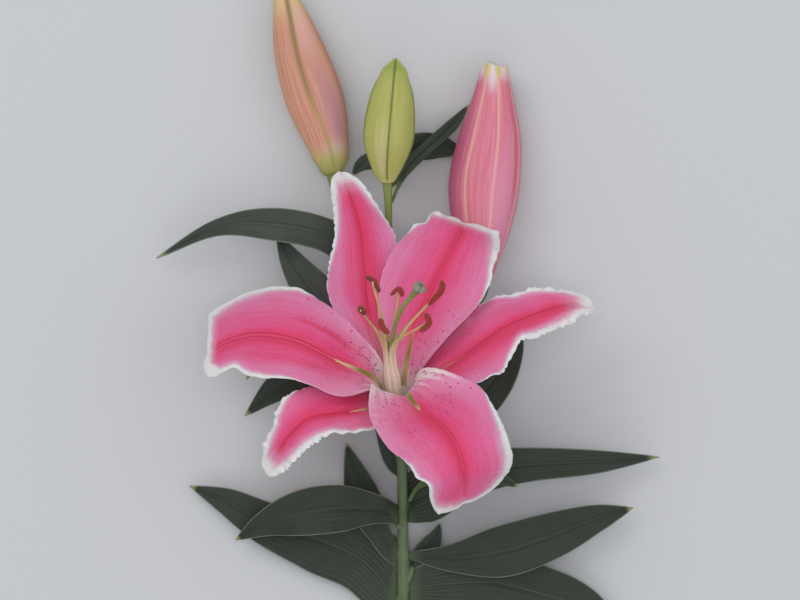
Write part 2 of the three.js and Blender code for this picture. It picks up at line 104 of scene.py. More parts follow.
def tube(rows, steps, sides, reach=None):
    """Rings of points round a line. reach(t, angle) gives the radius; without it the rows' fourth number
    does. The angles start from the side that is nearest to +X, and a quarter turn on points down."""
    t = np.linspace(0, 1, steps + 1)
    middle, way = along(rows, t)[:, :3], heading(rows, t)
    away = np.where(np.abs(way[:, :1]) < 0.8, [1.0, 0, 0], [0, 0, 1.0])
    side = unit(away - (away * way).sum(1)[:, None] * way)
    lift = np.cross(way, side)
    angle = turns(sides)
    t_grid, angle_grid = np.meshgrid(t, angle, indexing="ij")
    radius = along(rows, t)[:, 3][:, None] if reach is None else reach(t_grid, angle_grid)
    ring = side[:, None] * np.cos(angle)[None, :, None] + lift[:, None] * np.sin(angle)[None, :, None]
    return middle[:, None] + ring * np.broadcast_to(radius, t_grid.shape)[..., None], t_grid, angle_grid


def tube_faces(rings, sides):
    """Four-sided faces between rings, and a fan of them over each end."""
    j, i = np.meshgrid(np.arange(rings - 1), np.arange(sides), indexing="ij")
    a, b = j * sides + i, j * sides + (i + 1) % sides
    faces = np.stack([a, b, b + sides, a + sides], -1).reshape(-1, 4).tolist()
    last = (rings - 1) * sides
    for k in range(sides // 2 - 1):
        ring = (k, k + 1, sides - 2 - k, sides - 1 - k)
        faces.append([ring[3], ring[2], ring[1], ring[0]])
        faces.append([last + n for n in ring])
    return faces


def piece(name, points, faces, marks=None):
    """A mesh object from points in the drawing's millimetres. marks are values that its finish reads."""
    mesh = bpy.data.meshes.new(name)
    mesh.from_pydata(((np.asarray(points) - DRAWING_MIDDLE) / 1000).tolist(), [], faces)
    for mark, values in (marks or {}).items():
        kind = "FLOAT_VECTOR" if values.ndim == 2 else "FLOAT"
        held = mesh.attributes.new(mark, kind, "POINT")
        held.data.foreach_set("vector" if values.ndim == 2 else "value", values.astype(np.float32).ravel())
    mesh.update()
    turned = bmesh.new()
    turned.from_mesh(mesh)
    bmesh.ops.recalc_face_normals(turned, faces=turned.faces)
    turned.to_mesh(mesh)
    turned.free()
    mesh.shade_smooth()
    made = bpy.data.objects.new(name, mesh)
    bpy.context.scene.collection.objects.link(made)
    return made


def put(made, node, slot, *finishes):
    """Gives a piece its finish, hides the solid it stands for, and fixes it to the flower."""
    for finish in finishes:
        made.data.materials.append(finish)
    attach(made, "root")
    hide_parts(node)


def settled(made):
    """Turns a piece's modifiers into its own mesh."""
    seen = made.evaluated_get(bpy.context.evaluated_depsgraph_get())
    mesh = bpy.data.meshes.new_from_object(seen)
    made.modifiers.clear()
    made.data = mesh
    mesh.shade_smooth()


def hex_linear(code):
    """A colour given as sRGB hex, as the linear red, green, blue and alpha that a shader takes."""
    channels = [((code >> shift) & 255) / 255 for shift in (16, 8, 0)]
    return [c / 12.92 if c <= 0.04045 else ((c + 0.055) / 1.055) ** 2.4 for c in channels] + [1.0]


def skin(name, **settings):
    """An empty finish: the function that adds a node to it, and the one that links the shader at its end."""
    material = bpy.data.materials.new(name)
    material.use_nodes = True
    tree = material.node_tree
    shader = tree.nodes["Principled BSDF"]
    for key, value in settings.items():
        shader.inputs[key.replace("_", " ")].default_value = value

    def add(kind, inputs=(), output=0, **choices):
        """Adds one node with its settings, links or sets its inputs, and returns one of its outputs."""
        made = tree.nodes.new("ShaderNode" + kind)
        for key, value in choices.items():
            setattr(made, key, value)
        for key, value in inputs.items() if isinstance(inputs, dict) else enumerate(inputs):
            socket = made.inputs[key]
            if isinstance(value, bpy.types.NodeSocket):
                tree.links.new(value, socket)
            else:
                socket.default_value = hex_linear(value) if socket.type == "RGBA" else value
        return made.outputs[output]

    def worn(**outputs):
        """Links outputs to the shader, and returns the finish."""
        for key, value in outputs.items():
            tree.links.new(value, shader.inputs[key.replace("_", " ")])
        return material

    return add, worn


def coated(add, colour, *coats):
    """Lays coats over a colour. Each has its own colour and strength and any number of ramps: a value, and
    where along it the coat begins and where it is full."""
    for coat, strength, *ramps in coats:
        for value, begins, full in ramps:
            ramp = [value, begins, full, 0.0, strength]
            strength = add("MapRange", ramp, interpolation_type="SMOOTHSTEP")
        colour = add("Mix", {0: strength, 6: colour, 7: coat}, 2, data_type="RGBA")
    return colour


STEM_ROWS = [  # x, y, z and radius, evenly spaced from the cut end to the fork
    [1.5, -240, 3.7, 4.0],
    [1.5, -190, 5.2, 3.5],
    [1.5, -140, 8, 3.0],
    [1.3, -90, 11.8, 2.75],
    [0.4, -40, 15.6, 2.6],
    [-3.5, 15, 21, 2.3],
]
STALKS = [  # rows like the stem's
    # the bloom's own
    [
        [1.5, -114, 10, 2.2], [1.4, -99, 21, 2.4], [0.8, -82, 35, 2.6], [-0.5, -64, 46, 2.8],
        [-1.5, -54.2, 55.8, 5.6],
    ],
    # that of the left bud
    [
        [-4, 6, 20.3, 2.0], [-16, 25, 19.2, 2.1], [-27, 44, 16.6, 2.3], [-32, 55, 15.4, 2.8],
        [-34.5, 64.6, 15.1, 3.4],
    ],
    # that of the middle bud
    [
        [-3.5, 10, 20.6, 2.1], [-4.9, 26, 23, 1.8], [-5.6, 38, 26.4, 1.8], [-6, 49, 29.8, 2],
        [-6.4, 60.2, 32.3, 2.6],
    ],
    # that of the right bud
    [
        [-1.5, -16, 18.3, 2.0], [5, -13, 17.8, 2.1], [20, -9.5, 16.6, 2.2], [33, -5.5, 15.6, 2.5],
        [40.4, 1, 15.3, 2.9], [42.2, 8.6, 15.5, 4.2],
    ],
]
# The receptacle carries the bloom, whose axis leans back from the upright towards the buds.
RECEPTACLE = np.array([-1.5, -52.5, 58])
TILT = math.radians(38)
BLOOM_AXIS = np.array([0, math.sin(TILT), math.cos(TILT)])
BLOOM_TOP = np.array([0, math.cos(TILT), -math.sin(TILT)])
# Each leaf's place on the stem: its distance along it and its turn round it, with 90 degrees on top.
LEAF_PLACES = {
    "leaf_01": (-154, 180), "leaf_02": (-148, 0), "leaf_03": (-130, 185), "leaf_04": (-131, 25),
    "leaf_05": (-136, -10), "leaf_06": (-110, 145), "leaf_07": (-105, 20), "leaf_09": (-78, 10),
    "leaf_10": (-88, 140), "leaf_11": (-60, 180), "leaf_12": (-36, 195), "leaf_13": (-20, 150),
    "leaf_14": (0, 150),
}
CUSHION, SUNK = (3.6, 1.5, 2.2), 0.9  # a leaf's cushion: half its size along, out of and across the stem
OTHER_SWELLINGS = [  # middle, direction along, direction out, and sizes as above
    # a short bright shoot in the axil of the second leaf
    ([5.2, -141, 9.6], [0.25, 0.95, 0.15], [0.95, -0.25, 0.2], [5, 1.7, 1.9]),
    # the scar of a fallen leaf above it
    ([-0.6, -116, 12.6], [0, 1.0, 0], [-0.3, 0, 0.95], [1.6, 0.9, 2.2]),
]
VOXEL = 0.00048  # metres, the fineness at which the stem's parts are merged
CUT_PLACE, KNIFE_LEAN = np.array([0, -236, 4]), math.radians(-35)  # where the stem was cut, and how slanted


def bloom_point(angle, out, high):
    """A point of the bloom, from its angle round the axis in degrees, its distance from it and its height."""
    turn = math.radians(angle)
    right = np.array([out * math.cos(turn), 0, 0])
    return RECEPTACLE + right + BLOOM_TOP * out * math.sin(turn) + BLOOM_AXIS * high


def seat(y, turn):
    """Where a leaf sits: the stem's middle and radius there, the stem's direction and the one out of it."""
    t = np.linspace(0, 1, 2001)
    t = float(t[np.abs(along(STEM_ROWS, t)[:, 1] - y).argmin()])
    row = along(STEM_ROWS, t)[0]
    out = np.array([math.cos(math.radians(turn)), 0, math.sin(math.radians(turn))])
    return row[:3], row[3], heading(STEM_ROWS, t)[0], out


def bump(middle, way, out, sizes):
    """A small egg-shaped swelling, with sizes along the stem, out of it and across it."""
    over = np.cross(way, out)
    t, turn = np.meshgrid(np.linspace(0.02, np.pi - 0.02, 13), turns(16), indexing="ij")
    spots = (
        np.cos(t)[..., None] * way * sizes[0]
        + (np.sin(t) * np.cos(turn))[..., None] * out * sizes[1]
        + (np.sin(t) * np.sin(turn))[..., None] * over * sizes[2]
    )
    return middle + spots


def stem_rings():
    """Every tube and swelling that the stem is merged from."""
    whole = [tube(STEM_ROWS, 120, 24)[0]] + [tube(rows, 40, 20)[0] for rows in STALKS]
    # The receptacle is a dish that widens from a radius of 3 to one of 8.4 in its 7 mm of height.
    dish = [[*bloom_point(0, 0, -7 + 1.4 * k), 3 + 5.4 * math.sqrt(k / 5)] for k in range(6)]
    whole.append(tube(dish, 14, 28)[0])
    for place in LEAF_PLACES.values():
        centre, radius, way, out = seat(*place)
        whole.append(bump(centre + out * (radius - SUNK), way, out, CUSHION))
    return whole + [bump(*map(np.array, swelling)) for swelling in OTHER_SWELLINGS]


def cut_across(made, point, normal):
    """Cuts a piece with a plane, closes the cut and gives it the second finish."""
    form = bmesh.new()
    form.from_mesh(made.data)
    everything = form.verts[:] + form.edges[:] + form.faces[:]
    cut = bmesh.ops.bisect_plane(form, geom=everything, plane_co=point, plane_no=normal, clear_inner=True)
    edges = [e for e in cut["geom_cut"] if isinstance(e, bmesh.types.BMEdge)]
    for face in bmesh.ops.triangle_fill(form, edges=edges, use_beauty=True)["geom"]:
        if isinstance(face, bmesh.types.BMFace):
            face.material_index = 1
            face.smooth = False
    form.to_mesh(made.data)
    form.free()


def stem_skin():
    """Waxy green lily stem: mid green with a grey bloom, paler and darker specks half a millimetre wide,
    and faint streaks along it. The stalk under the middle bud is younger, and olive."""
    add, worn = skin("stem_waxy_green", IOR=1.42, Roughness=0.5, Subsurface_Weight=0.12, Subsurface_Scale=0.002)
    place = add("TexCoord", output="Object")
    up_stem = add("SeparateXYZ", [place], 1)
    streaks = add("Mapping", {0: place, 3: (1800, 60, 1800)})
    streak = add("TexNoise", {"Vector": streaks, "Scale": 1.0, "Detail": 3.0})
    cloud = add("TexNoise", {"Vector": place, "Scale": 90.0, "Detail": 4.0})
    pale = add("TexVoronoi", {"Vector": place, "Scale": 900.0})
    dark = add("TexVoronoi", {"Vector": place, "Scale": 520.0})
    colour = coated(
        add,
        0x56684A,
        (0x657552, 1.0, (streak, 0.3, 0.7)),
        (0x4B5C3F, 0.6, (cloud, 0.45, 0.7)),
        (0x7E8A4A, 1.0, (up_stem, 0.06, 0.078)),
        (0x8A967A, 0.55, (pale, 0.3, 0.12), (cloud, 0.5, 0.6)),
        (0x363D2F, 0.5, (dark, 0.26, 0.1), (cloud, 0.52, 0.42)),
    )
    ripple = add("Bump", {"Strength": 0.35, "Distance": 0.0003, "Height": streak})
    return worn(Base_Color=colour, Normal=ripple)


def cut_face():
    """The cut end of the stem: pale watery pith, dotted with the ends of the bundles that carry the sap."""
    add, worn = skin("stem_cut_pith", IOR=1.4, Roughness=0.35, Subsurface_Weight=0.2, Subsurface_Scale=0.002)
    bundles = add("TexVoronoi", {"Vector": add("TexCoord", output="Object"), "Scale": 1100.0})
    return worn(Base_Color=coated(add, 0xB9C58F, (0x7F9A58, 1.0, (bundles, 0.3, 0.15))))


points, faces = [], []
for rings in stem_rings():
    faces += [[len(points) + k for k in face] for face in tube_faces(*rings.shape[:2])]
    points += rings.reshape(-1, 3).tolist()
stem = piece("lily_stem", points, faces)
merged = stem.modifiers.new("merged", "REMESH")
merged.mode, merged.voxel_size = "VOXEL", VOXEL
eased = stem.modifiers.new("eased", "SMOOTH")
eased.factor, eased.iterations = 0.5, 5
settled(stem)
cut_place = ((CUT_PLACE - DRAWING_MIDDLE) / 1000).tolist()
cut_across(stem, cut_place, (0, math.cos(KNIFE_LEAN), math.sin(KNIFE_LEAN)))
for vertex in stem.data.vertices:
    vertex.co.z = max(vertex.co.z, 0.0)
put(stem, "stem", "stem_green", stem_skin(), cut_face())

# ---------------------------------------------------------------------------------------------------------
# The leaves. Each is a thick, dark, smooth blade with no stalk, folded a little along its middle, with veins
# that run side by side from base to tip and a thin pale edge. The three bracts by the middle bud are small
# leaves of the same kind.

LEAF_ROWS = {  # x, y, z and half-width, evenly spaced from near the stem to the tip
    "leaf_01": [
        [-19, -134, 6, 16.5], [-42, -123, 7, 17], [-67.5, -115, 8.5, 11.5], [-88.5, -103.5, 9, 7],
        [-108, -95.5, 7, 0.5],
    ],
    "leaf_02": [
        [25.5, -145.5, 8, 14.5], [48.5, -145, 9, 14], [72, -150.5, 9, 14.3], [94, -157.5, 7.5, 10.5],
        [116, -169, 5, 0.5],
    ],
    "leaf_03": [
        [-9, -122, 10.5, 6], [-15, -110, 11.5, 8.5], [-20, -97.5, 13, 8.5], [-24, -85, 15, 5],
        [-27.5, -73, 17, 0.5],
    ],
    "leaf_04": [
        [25.5, -132, 15, 7], [51, -128.5, 19, 13], [76.5, -120.5, 20, 12], [100.3, -111.6, 17, 7.2],
        [119.5, -106.5, 12, 0.5],
    ],
    "leaf_05": [
        [7, -134.5, 8, 3.5], [12.5, -129.5, 8, 5.5], [16.5, -124.5, 8.5, 5], [19, -119.5, 9, 2.8],
        [20.5, -114.5, 9.5, 0.5],
    ],
    "leaf_06": [
        [-14, -106.5, 20.5, 8], [-31, -106, 26, 12], [-51, -108.5, 25, 11.5], [-69.5, -114.5, 19, 6.5],
        [-84.5, -123, 13, 0.5],
    ],
    "leaf_07": [
        [12.5, -99.5, 18, 14.5], [38, -88, 24, 11.5], [66, -83.8, 25, 8.7], [100.3, -82.6, 19, 6],
        [133, -80.5, 11, 0.5],
    ],
    "leaf_08": [
        [4.5, -102.5, 19.5, 0.9], [10, -94.5, 26, 1.2], [22, -88.5, 31, 4.5], [36, -88, 34, 6],
        [50, -90.5, 33, 3.5], [60, -94.5, 30, 0.8],
    ],
    "leaf_09": [
        [19, -68, 19, 8], [34.5, -55, 26, 11.5], [47, -40.5, 30, 11], [56, -25.5, 31, 7],
        [61.5, -11.5, 30, 0.5],
    ],
    "leaf_10": [
        [-3.5, -79, 20, 6], [-5, -66, 25, 7.5], [-7.5, -53.5, 29, 7.5], [-12, -41, 32, 6], [-18, -30, 34, 0.5],
    ],
    "leaf_11": [
        [-14.5, -50, 17, 8], [-30.5, -41, 21, 10.5], [-47, -37.5, 24, 10], [-63, -45, 23, 7],
        [-79.5, -59.5, 18, 0.5],
    ],
    "leaf_12": [
        [-20.5, -23, 13, 7], [-38.5, -17, 14, 9], [-55, -17.5, 16, 9], [-69.5, -26.5, 18, 6],
        [-78.5, -40.5, 19, 0.5],
    ],
    "leaf_13": [
        [-18.5, -17, 22, 8], [-32.5, -6, 26, 11], [-46, 7.5, 27, 9.5], [-55.5, 20.5, 25, 6],
        [-63, 34.5, 21, 0.5],
    ],
    "leaf_14": [
        [-20.5, 20, 27, 8], [-38, 33, 33, 8.5], [-66, 38.5, 34, 8.2], [-94, 36.5, 26, 4.2],
        [-125, 21.5, 9, 0.5],
    ],
    "bract_right": [
        [-4.3, 49.5, 27, 0.7], [-1.2, 57, 28.5, 0.9], [2.4, 66, 25.5, 3], [14.5, 78.5, 15, 3.2],
        [26.5, 89.5, 8, 3], [35.5, 100.5, 4, 0.5],
    ],
    "bract_low": [
        [-5.6, 56.5, 27.8, 0.8], [-1.4, 65.5, 20, 4.4], [6, 77, 11, 7], [17.5, 79, 6, 6.5], [26, 78, 3.4, 4],
        [31.5, 77.5, 2, 0.5],
    ],
    "bract_left": [
        [-7.2, 50, 26.8, 0.7], [-7.2, 58, 23.4, 1.0], [-8.7, 66, 21, 2.2], [-14.5, 70.5, 19, 4.1],
        [-19.8, 69, 17, 3.3], [-24.5, 64, 14, 0.5],
    ],
}
LEAF_FOOT = 3.2  # half-width on the stem, except for these
LEAF_FEET = {"leaf_01": 13, "leaf_02": 8, "leaf_03": 8, "leaf_04": 1.8, "leaf_06": 5, "leaf_07": 9}
LEAF_THICKNESS = (0.8, 0.4)  # at the middle and at the margin
LEAF_GRID = (96, 33)  # points from base to tip and from margin to margin


def blade(grid, v, thickness):
    """Both faces of a blade from its middle surface, a grid of points from base to tip and, by v, from margin
    to margin. Returns the points, the faces, and the normals of the upper face."""
    on, over = np.empty_like(grid), np.empty_like(grid)
    on[1:-1], on[0], on[-1] = grid[2:] - grid[:-2], grid[1] - grid[0], grid[-1] - grid[-2]
    over[:, 1:-1] = grid[:, 2:] - grid[:, :-2]
    over[:, 0], over[:, -1] = grid[:, 1] - grid[:, 0], grid[:, -1] - grid[:, -2]
    normal = unit(np.cross(over, on))
    rows, columns = grid.shape[:2]
    at_middle, at_margin = thickness
    shift = normal * ((at_middle + (at_margin - at_middle) * v**2) / 2)[:, None]
    points = np.concatenate([(grid + shift).reshape(-1, 3), (grid - shift).reshape(-1, 3)])
    corners = np.arange(rows * columns).reshape(rows, columns)
    a = corners[:-1, :-1].ravel()
    upper = np.stack([a, a + 1, a + 1 + columns, a + columns], -1)
    lower = upper[:, ::-1] + rows * columns
    rim = np.concatenate([corners[0], corners[1:, -1], corners[-1, -2::-1], corners[-2:0:-1, 0]])
    after = np.roll(rim, -1)
    sides = np.stack([rim, rim + rows * columns, after + rows * columns, after], -1)
    return points, np.concatenate([upper, lower, sides]).tolist(), normal


def leaf_grid(name, u, v):
    """The middle surface of a leaf, with the marks that its finish reads: the share of the way from base to
    tip and from the middle to the margin, and the distance from the margin in millimetres."""
    line, base_side = LEAF_ROWS[name], None
    if name in LEAF_PLACES:
        centre, radius, base_side, out = seat(*LEAF_PLACES[name])
        line = [[*(centre + out * (radius + 0.1)), LEAF_FEET.get(name, LEAF_FOOT)]] + line
    middle, half = along(line, u)[:, :3], np.maximum(along(line, u)[:, 3], 0.5)
    half = half * np.sqrt(np.clip((1.004 - u) / 0.04, 0.05, 1))
    way = heading(line, np.clip(u, 0.002, 0.998))
    side = unit(np.cross(way, [0, 0, 1.0]))
    if base_side is not None:
        sign = np.where(side @ base_side < 0, -1.0, 1.0)[:, None]
        share = (1 - smooth(0, 0.16, u))[:, None]
        side = unit(side * (1 - share) + base_side * sign * share)
    lift = unit(np.cross(side, way))
    half, u, v = half[:, None], u[:, None], v[None]
    s = half * v
    chance = np.random.default_rng(sum(map(ord, name)))
    fold = 0.16 * half * (np.sqrt(v**2 + 0.012) - 0.1) * smooth(0, 0.2, u)
    gutter = -0.55 * hill(s, 0.9) * smooth(0.02, 0.1, u)
    waves = np.zeros_like(s)
    for cycles, size in ((2.1, 0.7), (4.3, 0.35), (8.7, 0.16)):
        for hand in (-1, 1):
            swing = np.sin(2 * np.pi * (cycles * u + chance.random()))
            waves += np.where(v * hand > 0, swing * size * np.abs(v) ** 2.4, 0)
    waves *= smooth(0.05, 0.3, u) * np.clip(half / 8, 0.2, 1)
    pleats = 0.07 * np.cos(2 * np.pi * 5 * np.abs(v)) * smooth(0.0, 0.1, u) * smooth(1.0, 0.8, u)
    height = fold + gutter + waves + pleats
    grid = middle[:, None] + side[:, None] * s[..., None] + lift[:, None] * height[..., None]
    return grid, np.stack(np.broadcast_arrays(u, v, half - np.abs(s)), -1)


def read(add, mark):
    """One of a piece's marks, and the three numbers in it."""
    held = add("Attribute", output="Vector", attribute_name=mark)
    return held, *(add("SeparateXYZ", [held], n) for n in range(3))


def leaf_skin(name, dark, light, vein, margin, striped, foot=(0x4A573F, 0.08, 0.0)):
    """Lily leaf: thick, dark green and smooth, with a low waxy gloss. Slightly paler veins run side by side,
    the edge is a pale line a third of a millimetre wide, and the very tip is yellow-green."""
    add, worn = skin(name, IOR=1.4, Roughness=0.48, Specular_IOR_Level=0.3)
    mark, u, v, edge = read(add, "leaf_mark")
    across = add("Math", [v], operation="ABSOLUTE")
    stretched = add("Mapping", {0: mark, 3: (5, 26, 0)})
    grain = add("TexNoise", {"Vector": stretched, "Scale": 1.0, "Detail": 4.0})
    cloud = add("TexNoise", {"Vector": add("TexCoord", output="Object"), "Scale": 60.0, "Detail": 3.0})
    # Seven veins between the middle and each margin. comb is the distance from the nearest, up to a half.
    swayed = add("Math", [cloud, 0.25], operation="MULTIPLY")
    shifted = add("Math", [across, 7.0, swayed], operation="MULTIPLY_ADD")
    comb = add("Math", [shifted, 0.5], operation="PINGPONG")
    fan = add("MapRange", [u, 0.7, 0.05, 0.35 * striped, striped], interpolation_type="SMOOTHSTEP")
    colour = coated(
        add,
        dark,
        (light, 1.0, (grain, 0.3, 0.7)),
        (dark, 0.5, (cloud, 0.42, 0.7)),
        (coated(add, vein, (0x5F7A52, 1.0, (u, 0.34, 0.1))), fan, (comb, 0.16, 0.0)),
        (vein, 0.45, (across, 0.05, 0.0)),
        (margin, 0.75, (edge, 0.5, 0.2)),
        (0x9A9A66, 0.85, (u, 0.955, 0.99)),
        (foot[0], 0.9, (u, *foot[1:])),
    )
    sunk_veins = add("MapRange", [comb, 0.16, 0.0, 0.0, -0.4], interpolation_type="SMOOTHSTEP")
    height = add("Math", [grain, 0.8, sunk_veins], operation="MULTIPLY_ADD")
    relief = add("Bump", {"Strength": 0.35, "Distance": 0.0003, "Height": height})
    rough = add("MapRange", [grain, 0.3, 0.7, 0.42, 0.56], interpolation_type="SMOOTHSTEP")
    return worn(Base_Color=colour, Normal=relief, Roughness=rough)


low_leaf = leaf_skin("leaf_dark_green", 0x2D332C, 0x384238, 0x4B5A48, 0x78826F, 0.3)
high_leaf = leaf_skin("leaf_grey_green", 0x373E38, 0x464E45, 0x566253, 0x7C8672, 0.4)
bract_leaf = leaf_skin("leaf_bract_green", 0x38423A, 0x465242, 0x5C6C54, 0x4C5A46, 0.25, (0x7A8850, 0.34, 0.14))
shoot_leaf = leaf_skin("leaf_shoot_green", 0x343D33, 0x434F40, 0x5C6C54, 0x4C5A46, 0.3, (0x5F7246, 0.34, 0.2))
LEAF_SKINS = {"leaf_08": shoot_leaf, "leaf_13": high_leaf, "leaf_14": high_leaf}
u, v = np.linspace(0, 1, LEAF_GRID[0]), np.linspace(-1, 1, LEAF_GRID[1])
for name in LEAF_ROWS:
    grid, marks = leaf_grid(name, u, v)
    points, faces, _ = blade(grid, v, LEAF_THICKNESS)
    leaf = piece(f"lily_{name}", points, faces, {"leaf_mark": np.concatenate([marks.reshape(-1, 3)] * 2)})
    put(leaf, name, "leaf_green", bract_leaf if "bract" in name else LEAF_SKINS.get(name, low_leaf))

# ---------------------------------------------------------------------------------------------------------
# The six tepals of the open bloom, three outer and three inner. Each is a soft, thick petal with a raised
# rib in a groove, a nectar furrow at its foot, fleshy crimson dots in the throat, and a waved, finely
# frilled white margin. They grow from the receptacle, the inner three in front of the outer three.

